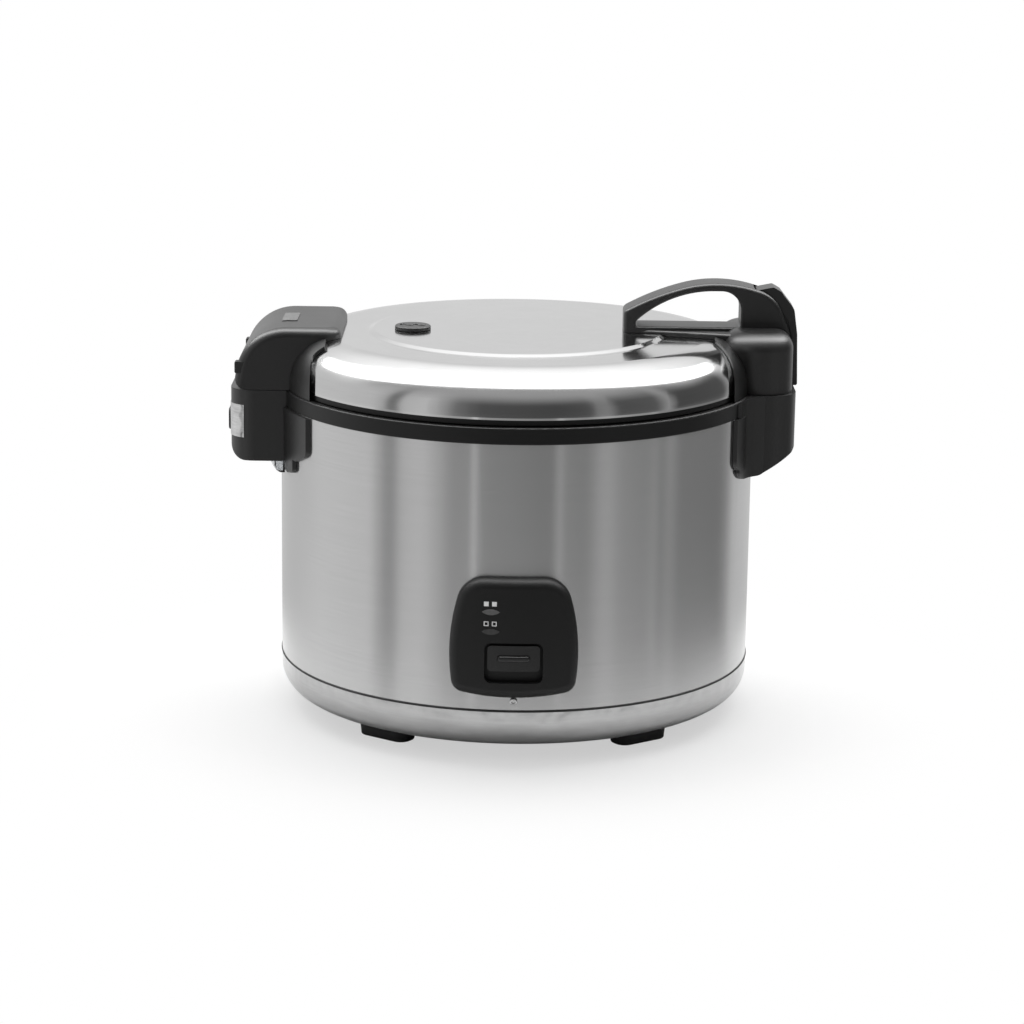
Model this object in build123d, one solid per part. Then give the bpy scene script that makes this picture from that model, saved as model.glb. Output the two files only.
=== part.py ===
from build123d import *
import math
import os

# A large rice cooker, in millimetres. The drum's axis is X = Y = 0 and the feet stand on Z = 0.
# The switch panel faces -Y, the hinge is at -X and the lid's handle and latch are at +X.

# Drum
BODY_RADIUS = 185.0
SHEET = 1.0
SEAM_Z = 43.4
WALL_TOP_Z = 246.0
HEM_RADIUS = 178.0
EDGE_BREAK = 0.6

# Base ring, floor and feet
RING_ROUND = 21.0
RING_BOTTOM_Z = 12.5
RING_FLANGE_RADIUS = 136.0
FLOOR_RADIUS = 150.0
FLOOR_Z = RING_BOTTOM_Z + SHEET
FLOOR_TOP_Z = FLOOR_Z + 1.2
VENT_SLOTS = 20
VENT_SLOT_LENGTH = 26.0
VENT_SLOT_WIDTH = 4.0
VENT_SLOT_RADIUS = 118.0
FOOT_X = 96.0
FOOT_Y = 111.0
FOOT_TURN = 35.0
FOOT_LENGTH = 47.0
FOOT_WIDTH = 23.0
FOOT_CORNER = 10.0
FOOT_TAPER = 6.0

# Collar and pot
COLLAR_RADIUS = 185.6
COLLAR_TOP_Z = 258.4
COLLAR_WALL = 2.6
COLLAR_INNER_RADIUS = 165.0
LEDGE_RADIUS = 153.0
LEDGE_Z = 249.0
SKIRT_RADIUS = 183.7
SKIRT_BOTTOM_Z = 236.0
POT_RADIUS = 150.0
POT_WALL = 2.2
POT_BOTTOM_Z = 72.0
POT_CORNER = 26.0
POT_RIM_RADIUS = 161.0
POT_RIM_Z = 251.8
POT_SEAT_GAP = 0.3

# Lid
LID_RADIUS = 181.0
LID_RIM_Z = 263.4
LID_TOP_Z = 298.0
LID_SHOULDER = 33.0
PLATEAU_Z = 300.0
STEP_OUTER_RADIUS = 117.0
STEP_INNER_RADIUS = 112.5
STEP_ROUND = 4.0
PARTING_Z = 258.8
TRIM_RADIUS = 180.2
TRIM_INNER_RADIUS = 160.0
INNER_LID_RADIUS = 159.5
INNER_LID_Z = 268.0
INNER_LID_SHEET = 1.2
LID_FIT = 0.2
VENT_X = -82.0
VENT_Y = -11.0
VENT_CAP_RADIUS = 14.0
VENT_TUBE_RADIUS = 9.0
VENT_BORE_RADIUS = 6.6
STUD_RADIUS = 4.0

# Hinge: its axis runs along Y
HINGE_X = -208.5
HINGE_Z = 267.8
KNUCKLE_RADIUS = 4.1
COVER_ROUND = 9.0
HINGE_PIN_RADIUS = 2.0
PIN_CLEARANCE = 0.05
EAR_INNER_Y = 28.0
EAR_OUTER_Y = 36.0
EAR_GAP = 0.4
HINGE_END_X = -221.6
HINGE_HALF_WIDTH = 55.0
HINGE_CORNER = 19.0
HINGE_BOTTOM_Z = 203.0
COVER_TIP_X = -136.0
COVER_TIP_CORNER = 13.0
COVER_TOP_Z = 307.0
COVER_EDGE_ROUND = 7.0
COVER_CURVE_Z = 274.0
COVER_LEAN = 80.0
COVER_WALL = 3.0
PLATE_THICKNESS = 0.6
SADDLE_THICKNESS = 2.6
WING_THICKNESS = 3.0
BAND_BOTTOM_Z = 221.0
BAND_TOP_Z = 246.5
BAND_PROUD = 0.5
BAND_THICKNESS = 1.4
PAD_END_X = -225.0

# Latch and handle
LATCH_END_X = 216.2
LATCH_CORNER = 24.0
LATCH_HALF_WIDTH = 53.0
LATCH_BOTTOM_Z = 196.6
HANDLE_END_X = 213.4
HANDLE_HALF_WIDTH = 50.0
HANDLE_TOP_Z = 305.2
HANDLE_TOP_ROUND = 13.5
HANDLE_INNER_X = 158.0
HANDLE_INNER_CORNER = 30.0
BAR_TOP_Z = 302.6
ARCH_HALF_WIDTH = 15.0
ARCH_EDGE_ROUND = 3.0
GAP_EDGE_ROUND = 1.6
LEVER_HALF_WIDTH = 10.5
LEVER_SIDE_GAP = 0.7
LATCH_PIVOT_X = 190.0
LATCH_PIVOT_Z = 318.0
LATCH_PIN_RADIUS = 2.0
HOUSING_WALL = 2.4
HOUSING_FIT = 0.1

# Switch panel
PANEL_RADIUS = 194.0
PANEL_BOTTOM_Z = 54.8
PANEL_TOP_Z = 146.8
PANEL_ROUND = 7.5
PANEL_WALL = 2.7
WELL_HALF_WIDTH = 21.7
WELL_BOTTOM_Z = 67.5
WELL_TOP_Z = 98.3
WELL_FLOOR_RADIUS = 188.2
LENS_X = -17.2
LENS_Z = {"cook": 122.0, "warm": 107.0}
LENS_LENGTH = 13.4
LENS_HEIGHT = 4.6
LENS_PROUD = 0.4

# Screws
SCREW_HEAD_RADIUS = 4.0
SCREW_SHANK_RADIUS = 1.8

# Dew cup
CUP_INNER_RADIUS = 186.0
CUP_OUTER_RADIUS = 194.0
CUP_BOTTOM_Z = 193.0
CUP_TOP_Z = 240.0
CUP_WALL = 1.2
CUP_HALF_ANGLE = 15.5

# Switch arm, magnet and thermostat
ARM_PIVOT_Y = -70.0
ARM_PIVOT_Z = 27.0
ARM_HALF_WIDTH = 8.0
ARM_THICKNESS = 2.0
ARM_RISER_Y = -174.0
ARM_PIN_RADIUS = 2.0
PLATE_RADIUS = 105.0
PLATE_BOTTOM_Z = 58.0
PLATE_HOLE_RADIUS = 20.0
SENSOR_RADIUS = 18.0
SENSOR_TOP_Z = POT_BOTTOM_Z - POT_SEAT_GAP
SENSOR_BOTTOM_Z = 52.0
SENSOR_WALL = 0.9
PAN_Z = 35.0
MAGNET_RADIUS = 9.0
HEATER_RING_RADIUS = 72.0
HEATER_TUBE_RADIUS = 5.0
LINER_RADIUS = 158.0
LINER_FLOOR_Z = 46.0

# Power inlet at the back
INLET_Z = 76.0
INLET_HALF_WIDTH = 12.2
INLET_HALF_HEIGHT = 8.0
INLET_FACE_Y = 193.6
INLET_BACK_Y = 164.0

# Common tools that make the solids


def turned(points, rounds=None):
    """A ring or disc from its half section of (radius, height) points, with rounded corners."""
    return revolve(Plane.XZ * outline(points, rounds), Axis.Z)


def outline(points, rounds=None):
    """A closed flat outline; rounds maps a point's number to the radius of its corner."""
    face = make_face(Polyline(*points, close=True))
    for number, radius in (rounds or {}).items():
        corner = face.vertices().sort_by_distance(Vector(*points[number]))[0]
        face = fillet(corner, radius)
    return face


def along_y(face, half_width):
    """An outline of (X, Z) points made thick along Y, equally to both sides."""
    return extrude(Plane.XZ * face, half_width, both=True)


def along_z(face, bottom, top):
    """An outline of (X, Y) points raised from bottom to top."""
    return Pos(0, 0, bottom) * extrude(face, top - bottom)


def slab(x0, x1, y0, y1, z0, z1):
    """A block between two corners."""
    middle = Pos((x0 + x1) / 2, (y0 + y1) / 2, (z0 + z1) / 2)
    return middle * Box(abs(x1 - x0), abs(y1 - y0), abs(z1 - z0))


def drum(radius, bottom, top):
    """A solid cylinder on the cooker's axis."""
    return Pos(0, 0, (bottom + top) / 2) * Cylinder(radius, top - bottom)


def pin_along_y(x, z, radius, y0, y1):
    """A round bar along Y."""
    return Pos(x, (y0 + y1) / 2, z) * Rot(90, 0, 0) * Cylinder(radius, y1 - y0)


def pin_along_x(y, z, radius, x0, x1):
    """A round bar along X."""
    return Pos((x0 + x1) / 2, y, z) * Rot(0, 90, 0) * Cylinder(radius, x1 - x0)


def upright(x, y, radius, bottom, top):
    """A round bar along Z."""
    return Pos(x, y, (bottom + top) / 2) * Cylinder(radius, top - bottom)


def end_plan(inner_x, outer_x, half_width, corner):
    """Plan of a housing: square towards the drum, with round corners at its outer end."""
    middle = (inner_x + outer_x) / 2
    face = Pos(middle, 0) * Rectangle(abs(outer_x - inner_x), 2 * half_width)
    ends = face.vertices().sort_by(Axis.X)
    return fillet(ends[-2:] if outer_x > inner_x else ends[:2], corner)


def sector(half_angle, radius, bottom, top, middle_angle):
    """A wedge of a cylinder, half_angle to each side of middle_angle."""
    first = middle_angle - half_angle
    wedge = revolve(Plane.XZ * outline([(0, bottom), (radius, bottom), (radius, top), (0, top)]),
                    Axis.Z, 2 * half_angle)
    return Rot(0, 0, first) * wedge


def group(*solids):
    """Several separate solids kept as one piece."""
    return Compound(children=[solid for shape in solids for solid in shape.solids()])


# Drum, base and feet


def body_shell():
    """Straight steel wall with a hem turned in at the seam."""
    inner = BODY_RADIUS - SHEET
    wall = turned([(HEM_RADIUS, SEAM_Z), (BODY_RADIUS - EDGE_BREAK, SEAM_Z),
                   (BODY_RADIUS, SEAM_Z + EDGE_BREAK), (BODY_RADIUS, WALL_TOP_Z), (inner, WALL_TOP_Z),
                   (inner, SEAM_Z + SHEET), (HEM_RADIUS, SEAM_Z + SHEET)])
    half = ARM_HALF_WIDTH + 3
    wall -= slab(-half, half, -BODY_RADIUS - 5, -HEM_RADIUS, WELL_BOTTOM_Z, WELL_TOP_Z)
    for height in LENS_Z.values():
        wall -= pin_along_y(LENS_X, height, LENS_HEIGHT, -BODY_RADIUS - 5, -HEM_RADIUS)
    wall -= inlet_block(2.2)
    return wall - housing_screws() - panel_screw()


def base_ring():
    """Polished ring that curves under the drum and ends in a flat flange."""
    inner = BODY_RADIUS - SHEET
    return turned([(HEM_RADIUS, SEAM_Z), (BODY_RADIUS - EDGE_BREAK, SEAM_Z),
                   (BODY_RADIUS, SEAM_Z - EDGE_BREAK), (BODY_RADIUS, RING_BOTTOM_Z),
                   (RING_FLANGE_RADIUS, RING_BOTTOM_Z), (RING_FLANGE_RADIUS, FLOOR_Z),
                   (inner, FLOOR_Z), (inner, SEAM_Z - SHEET), (HEM_RADIUS, SEAM_Z - SHEET)],
                  {3: RING_ROUND, 6: RING_ROUND - SHEET}) - foot_screws()


def bottom_plate():
    """Steel floor with a ring of vent slots."""
    plate = drum(FLOOR_RADIUS, FLOOR_Z, FLOOR_TOP_Z)
    slot = along_z(SlotOverall(VENT_SLOT_LENGTH, VENT_SLOT_WIDTH), FLOOR_Z - 1, FLOOR_TOP_Z + 1)
    for number in range(VENT_SLOTS):
        turn = Rot(0, 0, (number + 0.5) * 360 / VENT_SLOTS)
        plate -= turn * Pos(VENT_SLOT_RADIUS, 0, 0) * slot
    return plate - foot_screws()


def foot_places():
    """Name, place and turn of each foot."""
    for row, y in (("front", -FOOT_Y), ("rear", FOOT_Y)):
        for side, x in (("left", -FOOT_X), ("right", FOOT_X)):
            turn = -math.copysign(FOOT_TURN, x * y)
            yield f"foot_{row}_{side}", Pos(x, y, 0) * Rot(0, 0, turn)


def foot(place):
    """Rubber block along the rim, narrower at the floor, with a well for its screw."""
    block = Pos(0, 0, RING_BOTTOM_Z) * extrude(RectangleRounded(FOOT_LENGTH, FOOT_WIDTH, FOOT_CORNER),
                                               -RING_BOTTOM_Z, taper=FOOT_TAPER)
    block = fillet(block.faces().sort_by(Axis.Z)[0].edges(), 1.2)
    well = upright(0, 0, 4.6, -1, 4)
    return place * (block - well) - foot_screws()


def foot_screws():
    """One screw up through each foot into the base."""
    screw = upright(0, 0, SCREW_HEAD_RADIUS, 4, 6.5)
    screw += upright(0, 0, SCREW_SHANK_RADIUS, 6.5, FLOOR_TOP_Z + 3)
    return group(*[place * screw for name, place in foot_places()])


# Collar, pot and the drum round it


def collar_ring():
    """Black channel that caps the wall and carries the pot's rim on a ledge."""
    web = COLLAR_TOP_Z - COLLAR_WALL
    ledge_bottom = LEDGE_Z - COLLAR_WALL
    wall = COLLAR_INNER_RADIUS + COLLAR_WALL
    skirt = SKIRT_RADIUS - COLLAR_WALL
    return turned([(COLLAR_RADIUS, WALL_TOP_Z), (COLLAR_RADIUS, COLLAR_TOP_Z),
                   (COLLAR_INNER_RADIUS, COLLAR_TOP_Z), (COLLAR_INNER_RADIUS, LEDGE_Z),
                   (LEDGE_RADIUS, LEDGE_Z), (LEDGE_RADIUS, ledge_bottom), (wall, ledge_bottom),
                   (wall, web), (skirt, web), (skirt, SKIRT_BOTTOM_Z),
                   (SKIRT_RADIUS, SKIRT_BOTTOM_Z), (SKIRT_RADIUS, WALL_TOP_Z)],
                  {0: 0.8, 1: 1.2, 2: 1.0})


def inner_pot():
    """Aluminium pot with a rolled-out rim."""
    inner = POT_RADIUS - POT_WALL
    rim = POT_RIM_Z - POT_WALL
    floor = POT_BOTTOM_Z + POT_WALL
    return turned([(0, POT_BOTTOM_Z), (POT_RADIUS, POT_BOTTOM_Z), (POT_RADIUS, rim), (POT_RIM_RADIUS, rim),
                   (POT_RIM_RADIUS, POT_RIM_Z), (inner, POT_RIM_Z), (inner, floor), (0, floor)],
                  {1: POT_CORNER, 5: 3.0, 6: POT_CORNER - POT_WALL})


def inner_liner():
    """Sheet drum between the pot and the wall, with a floor that carries the heater."""
    inner = LINER_RADIUS - SHEET
    top = LEDGE_Z - COLLAR_WALL
    flange = COLLAR_INNER_RADIUS
    hole = 60.0
    return turned([(hole, LINER_FLOOR_Z), (LINER_RADIUS, LINER_FLOOR_Z), (LINER_RADIUS, top - SHEET),
                   (flange, top - SHEET), (flange, top), (inner, top), (inner, LINER_FLOOR_Z + SHEET),
                   (hole, LINER_FLOOR_Z + SHEET)], {1: 5.0, 6: 4.0})


def warm_band():
    """Keep-warm heater: a flat band clamped round the liner."""
    band = drum(LINER_RADIUS + 2.6, 120, 150) - drum(LINER_RADIUS, 119, 151)
    clamp_gap = slab(-4, 4, LINER_RADIUS - 10, LINER_RADIUS + 10, 119, 151)
    return band - clamp_gap


# Heater and thermostat


def heating_plate():
    """Cast plate with a hole for the thermostat and a groove for the heater's tube."""
    top = POT_BOTTOM_Z - POT_SEAT_GAP
    plate = turned([(PLATE_HOLE_RADIUS, PLATE_BOTTOM_Z), (PLATE_RADIUS, PLATE_BOTTOM_Z),
                    (PLATE_RADIUS, top), (PLATE_HOLE_RADIUS, top)], {1: 4.0, 2: 5.0})
    return plate - heater_ring()


def heater_ring():
    """The round part of the heater's tube, half sunk in the plate."""
    return Pos(0, 0, PLATE_BOTTOM_Z) * Torus(HEATER_RING_RADIUS, HEATER_TUBE_RADIUS)


def heater_tube():
    """Heater tube with its two terminals, a gap between them."""
    gap = Pos(HEATER_RING_RADIUS, 0, PLATE_BOTTOM_Z) * Box(18, 14, 18)
    tube = heater_ring() - gap
    for y in (-10, 10):
        x = math.sqrt(HEATER_RING_RADIUS ** 2 - y ** 2)
        tube += upright(x, y, 2.0, LINER_FLOOR_Z + SHEET + 1.0, PLATE_BOTTOM_Z - 1)
    return tube


def plate_posts():
    """Three posts between the liner's floor and the plate."""
    post = upright(92, 0, 4.0, LINER_FLOOR_Z + SHEET, PLATE_BOTTOM_Z)
    return group(*[Rot(0, 0, 60 + 120 * number) * post for number in range(3)])


def sensor_cap():
    """Aluminium cap that touches the pot's bottom."""
    cap = drum(SENSOR_RADIUS, SENSOR_BOTTOM_Z, SENSOR_TOP_Z)
    cap -= drum(SENSOR_RADIUS - SENSOR_WALL, SENSOR_BOTTOM_Z - 1, SENSOR_TOP_Z - SENSOR_WALL)
    return fillet(cap.edges().sort_by(Axis.Z)[-1], 0.8)


def sensor_ferrite():
    """Ferrite disc under the cap's top."""
    return drum(MAGNET_RADIUS, 64.2, SENSOR_TOP_Z - SENSOR_WALL)


def sensor_bracket():
    """Pan under the liner's floor that holds the thermostat's spring."""
    top = PAN_Z + SHEET
    flange = LINER_FLOOR_Z - SHEET
    return turned([(8, PAN_Z), (57, PAN_Z), (57, flange), (67, flange), (67, LINER_FLOOR_Z),
                   (56, LINER_FLOOR_Z), (56, top), (8, top)])


def sensor_spring():
    """Coil spring under the cap."""
    wire = 0.7
    coil_radius = 14.0
    bottom = PAN_Z + SHEET + wire + 0.1
    top = SENSOR_BOTTOM_Z - wire - 0.1
    turns = 4
    line = Pos(0, 0, bottom) * Helix((top - bottom) / turns, top - bottom, coil_radius)
    start = Plane(line @ 0, z_dir=line % 0)
    return sweep(start * Circle(wire), path=line, is_frenet=True)


def magnet_plunger():
    """Magnet on a rod, with two collars for the switch arm's fork."""
    rod = upright(0, 0, 2.2, 20, 50)
    magnet = upright(0, 0, MAGNET_RADIUS, 50, 56)
    collars = upright(0, 0, 6.0, 29.2, 31) + upright(0, 0, 6.0, 22.6, 24.6)
    return rod + magnet + collars


# Switch arm


def switch_lever():
    """Knob in the panel's well, on a long arm that turns on its pivot and forks at the magnet."""
    bottom = ARM_PIVOT_Z - ARM_THICKNESS / 2
    top = ARM_PIVOT_Z + ARM_THICKNESS / 2
    half = ARM_HALF_WIDTH
    stem_bottom = 86.0
    stem_top = 91.0
    arm = slab(-half, half, ARM_RISER_Y, 9, bottom, top)
    arm -= slab(-3, 3, -7, 10, bottom - 1, top + 1)
    arm += slab(-half, half, ARM_RISER_Y, ARM_RISER_Y + ARM_THICKNESS, bottom, stem_top)
    arm += slab(-half, half, -WELL_FLOOR_RADIUS - 1.5, ARM_RISER_Y, stem_bottom, stem_top)
    arm += pin_along_x(ARM_PIVOT_Y, ARM_PIVOT_Z, 4.5, -half, half)
    bore = ARM_PIN_RADIUS + PIN_CLEARANCE
    arm -= pin_along_x(ARM_PIVOT_Y, ARM_PIVOT_Z, bore, -half - 1, half + 1)
    return arm + switch_knob()


def switch_knob():
    """Paddle of the switch with a raised rib to press."""
    bottom = 76.0
    top = 95.6
    half = WELL_HALF_WIDTH - 2.2
    face = Pos(0, (bottom + top) / 2) * RectangleRounded(2 * half, top - bottom, 3.0)
    paddle = along_y(face, 210) & slab(-40, 40, -210, -150, 0, 200)
    paddle &= drum(WELL_FLOOR_RADIUS + 3.2, 60, 110) - drum(WELL_FLOOR_RADIUS + 0.7, 60, 110)
    rib_face = Pos(0, 85.8) * RectangleRounded(24.6, 4.8, 2.2)
    rib = along_y(rib_face, 210) & slab(-40, 40, -210, -150, 0, 200)
    rib &= drum(PANEL_RADIUS - 0.4, 60, 110) - drum(WELL_FLOOR_RADIUS + 2, 60, 110)
    front = [edge for edge in rib.edges() if radius_of(edge.center()) > PANEL_RADIUS - 0.9]
    return paddle + fillet(front, 1.8)


def lever_bracket():
    """Two cheeks on the floor that hold the arm's pin."""
    inner = ARM_HALF_WIDTH + 0.6
    outer = inner + 1.6
    y0 = ARM_PIVOT_Y - 9
    y1 = ARM_PIVOT_Y + 9
    bracket = slab(-outer, outer, y0, y1, FLOOR_TOP_Z, FLOOR_TOP_Z + 1.6)
    for side in (-1, 1):
        bracket += slab(side * inner, side * outer, y0 + 2, y1 - 2, FLOOR_TOP_Z, ARM_PIVOT_Z + 6)
    return bracket - lever_pin()


def lever_pin():
    """Steel pin of the switch arm."""
    reach = ARM_HALF_WIDTH + 3.4
    return pin_along_x(ARM_PIVOT_Y, ARM_PIVOT_Z, ARM_PIN_RADIUS, -reach, reach)


def micro_switch():
    """Sealed switch beside the arm, with a button on top and two tabs."""
    box = slab(14, 24, -128, -100, FLOOR_TOP_Z, FLOOR_TOP_Z + 15)
    box = fillet(box.edges().filter_by(Axis.Z), 1.2)
    button = upright(19, -107, 1.8, FLOOR_TOP_Z + 15, FLOOR_TOP_Z + 17)
    tabs = slab(18.6, 19.4, -100, -93, 18, 23) + slab(18.6, 19.4, -135, -128, 18, 23)
    return box + button + tabs


# Switch panel and lamps


def panel_outline(inset):
    """Front outline of the panel, wider at its middle and bowed at its foot, drawn in (X, Z)."""
    bottom = PANEL_BOTTOM_Z + inset
    top = PANEL_TOP_Z - inset
    heel_z = PANEL_BOTTOM_Z + 4.6 + inset
    widest = 47.9 - inset
    shoulder = 36.5 - inset
    heel = 45.2 - inset
    face = make_face(Polyline((shoulder, top), (-shoulder, top)) +
                     ThreePointArc((-shoulder, top), (-widest, 88), (-heel, heel_z)) +
                     ThreePointArc((-heel, heel_z), (0, bottom), (heel, heel_z)) +
                     ThreePointArc((heel, heel_z), (widest, 88), (shoulder, top)))
    upper = face.vertices().sort_by(Axis.Y)[-2:]
    face = fillet(upper, 22.0 - inset)
    return fillet(face.vertices().sort_by(Axis.Y)[:2], 10.0 - inset)


def facing_front(face, inner_radius, outer_radius):
    """An (X, Z) outline cut from the ring between two radii, on the cooker's front."""
    block = extrude(Plane.XZ * face, 230)
    return block & (drum(outer_radius, 0, 230) - drum(inner_radius, -1, 231))


def well_outline(grow):
    """Rounded rectangle of the switch's well."""
    height = WELL_TOP_Z - WELL_BOTTOM_Z
    middle = (WELL_TOP_Z + WELL_BOTTOM_Z) / 2
    return Pos(0, middle) * RectangleRounded(2 * (WELL_HALF_WIDTH + grow), height + 2 * grow, 5 + grow)


def control_panel():
    """Hollow moulding that follows the drum, with a well for the switch and two lens holes."""
    face_radius = PANEL_RADIUS
    panel = facing_front(panel_outline(0), BODY_RADIUS, face_radius)
    front_edges = [edge for edge in panel.edges() if radius_of(edge.center()) > face_radius - 1.5]
    panel = fillet(front_edges, PANEL_ROUND)
    panel -= facing_front(panel_outline(PANEL_WALL + 1), BODY_RADIUS - 1, face_radius - PANEL_WALL)
    panel += facing_front(well_outline(2.0), BODY_RADIUS, face_radius - 1.0)
    panel -= facing_front(well_outline(0), WELL_FLOOR_RADIUS, face_radius + 5)
    slot = ARM_HALF_WIDTH + 1.0
    panel -= slab(-slot, slot, -220, -150, 77.2, 92.4)
    for height in LENS_Z.values():
        panel -= facing_front(lens_outline(height), BODY_RADIUS, face_radius + 5)
    return panel


def radius_of(point):
    """Distance of a point from the cooker's axis."""
    return math.hypot(point.X, point.Y)


def lens_outline(height):
    """Pointed oval, drawn in (X, Z)."""
    left = (LENS_X - LENS_LENGTH / 2, height)
    right = (LENS_X + LENS_LENGTH / 2, height)
    rise = LENS_HEIGHT / 2
    upper = ThreePointArc(left, (LENS_X, height + rise), right)
    return make_face(upper + ThreePointArc(right, (LENS_X, height - rise), left))


def lens(height):
    """Clear lens that stands a little proud of the panel."""
    back = PANEL_RADIUS - PANEL_WALL - 1.0
    return facing_front(lens_outline(height), back, PANEL_RADIUS + LENS_PROUD)


def panel_screw():
    """Small screw in the wall just under the panel."""
    z = 51.4
    head = pin_along_y(0.3, z, 2.9, -BODY_RADIUS - 1.6, -BODY_RADIUS + 0.2)
    shank = pin_along_y(0.3, z, 1.6, -BODY_RADIUS + 0.2, -BODY_RADIUS + 6)
    return fillet(head.edges().sort_by(Axis.Y)[0], 0.9) + shank


def lamp_holder():
    """Block behind the wall that holds the two lamps."""
    block = slab(LENS_X - 10, LENS_X + 10, -181, -171, 99, 130)
    return fillet(block.edges().filter_by(Axis.Y), 2.0) - neon_lamps()


def neon_lamps():
    """One small glass lamp behind each lens."""
    lamps = [pin_along_y(LENS_X, height, 2.6, -184, -169) for height in LENS_Z.values()]
    return group(*[fillet(lamp.edges(), 1.4) for lamp in lamps])


# Wiring


def thermal_fuse():
    """Small one-shot fuse in its sleeve, on the liner's floor."""
    return fillet(pin_along_x(-88, LINER_FLOOR_Z + SHEET + 3.4, 3.4, -32, -6).edges(), 1.0)


def terminal_block():
    """Ceramic block with three screw terminals."""
    block = slab(-22, 22, 96, 116, FLOOR_TOP_Z, FLOOR_TOP_Z + 15)
    for x in (-14, 0, 14):
        block -= upright(x, 106, 3.2, FLOOR_TOP_Z + 7, FLOOR_TOP_Z + 16)
    return fillet(block.edges().filter_by(Axis.Z), 2.0)


def wiring():
    """Insulated leads on the floor, bent in wide arcs."""
    level = FLOOR_TOP_Z + 6.0
    routes = [
        [(-9, 118, level), (-9, 142, level), (-9, 162, 42), (-9, 162, 70)],
        [(9, 118, level), (9, 142, level), (9, 162, 42), (9, 162, 70)],
        [(-14, 94, level), (-14, 50, level), (-42, 0, level), (-40, -60, level)],
        [(14, 94, level), (14, 60, level), (46, 20, level), (46, -86, level), (21, -90, level)],
    ]
    return group(*[lead(route) for route in routes])


def lead(route):
    """One insulated wire along its route."""
    line = FilletPolyline(*route, radius=9.0)
    return sweep(Plane(line @ 0, z_dir=line % 0) * Circle(1.5), path=line)


# Power inlet


def inlet_block(grow):
    """Outer block of the inlet, from behind the wall to its face."""
    half = INLET_HALF_WIDTH + grow
    high = INLET_HALF_HEIGHT + grow
    return slab(-half, half, INLET_BACK_Y, INLET_FACE_Y, INLET_Z - high, INLET_Z + high)


def power_inlet():
    """Socket for a cord: a deep cavity with a flange that lies on the wall."""
    wall = 2.0
    face = Pos(0, INLET_Z) * RectangleRounded(46, 32, 5)
    flange = Pos(0, INLET_FACE_Y, 0) * extrude(Plane.XZ * face, 12)
    flange -= drum(BODY_RADIUS + 0.05, 0, 200)
    cavity = slab(-INLET_HALF_WIDTH, INLET_HALF_WIDTH, INLET_BACK_Y + 3, INLET_FACE_Y + 5,
                  INLET_Z - INLET_HALF_HEIGHT, INLET_Z + INLET_HALF_HEIGHT)
    return flange + inlet_block(wall) - cavity - inlet_pins()


def inlet_pins():
    """Three flat brass pins."""
    pins = [slab(x - 2, x + 2, INLET_BACK_Y - 3, INLET_BACK_Y + 16.6, INLET_Z + z - 1, INLET_Z + z + 1)
            for x, z in ((-7, -2), (0, 2), (7, -2))]
    return group(*pins)


# Lid


def lid_form(grow, bottom):
    """Solid form of the lid, made larger or smaller all round by grow."""
    return turned([(0, bottom), (LID_RADIUS + grow, bottom), (LID_RADIUS + grow, LID_TOP_Z + grow),
                   (STEP_OUTER_RADIUS, LID_TOP_Z + grow), (STEP_INNER_RADIUS, PLATEAU_Z + grow),
                   (0, PLATEAU_Z + grow)], {2: LID_SHOULDER + grow, 3: STEP_ROUND, 4: STEP_ROUND})


def lid_shell():
    """Polished skin of the lid with a hem at its rim and a hole for the steam vent."""
    skin = lid_form(0, LID_RIM_Z) - lid_form(-SHEET, LID_RIM_Z - 1)
    hem = drum(LID_RADIUS - EDGE_BREAK, LID_RIM_Z, LID_RIM_Z + SHEET)
    skin += hem - drum(HEM_RADIUS, LID_RIM_Z - 1, LID_TOP_Z)
    skin -= upright(VENT_X, VENT_Y, VENT_TUBE_RADIUS, LID_RIM_Z, PLATEAU_Z + 9)
    return skin - lid_screws()


def lid_screws():
    """Screws from inside the lid: two into the handle's bar and two into the hinge cover."""
    screws = []
    places = [(95, 0, PLATEAU_Z), (140, 0, LID_TOP_Z), (-143, -24, LID_TOP_Z), (-143, 24, LID_TOP_Z)]
    for x, y, level in places:
        skin = level - SHEET
        head = upright(x, y, SCREW_HEAD_RADIUS, skin - 2.4, skin)
        screws.append(head + upright(x, y, SCREW_SHANK_RADIUS, skin, level + 4))
    return group(*screws)


def lid_trim_ring():
    """Black ring under the lid's steel."""
    step = HEM_RADIUS - 0.2
    top = 266.4
    return turned([(TRIM_INNER_RADIUS, PARTING_Z), (TRIM_RADIUS, PARTING_Z), (TRIM_RADIUS, LID_RIM_Z),
                   (step, LID_RIM_Z), (step, top), (TRIM_INNER_RADIUS, top)], {1: 0.8})


def inner_lid():
    """Aluminium plate that closes the pot, with a dished middle and steam holes."""
    rim_top = PARTING_Z + INNER_LID_SHEET
    top = INNER_LID_Z
    under = top - INNER_LID_SHEET
    plate = turned([(0, under), (118, under), (138, PARTING_Z), (INNER_LID_RADIUS, PARTING_Z),
                    (INNER_LID_RADIUS, rim_top), (138.6, rim_top), (118.6, top), (0, top)])
    for number in range(8):
        plate -= Rot(0, 0, 22.5 + 45 * number) * upright(52, 0, 2.5, top - 3, top + 1)
    plate -= upright(VENT_X, VENT_Y, VENT_TUBE_RADIUS, top - 5, top + 1)
    return plate - upright(0, 0, STUD_RADIUS, top - 5, top + 1)


def lid_gasket():
    """Soft seal with a lip that hangs over the pot's rim."""
    return turned([(150, 257.2), (153, 257.2), (155.5, 252.6), (158, 252.6), (157, 257.2), (163.6, 257.2),
                   (163.6, PARTING_Z), (150, PARTING_Z)])


def lid_insulation():
    """Insulating pad between the skin and the inner lid."""
    pad = drum(120, 274, 292)
    pad -= upright(VENT_X, VENT_Y, VENT_TUBE_RADIUS + 0.5, 270, 300)
    return pad - upright(0, 0, STUD_RADIUS + 0.5, 270, 300)


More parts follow.
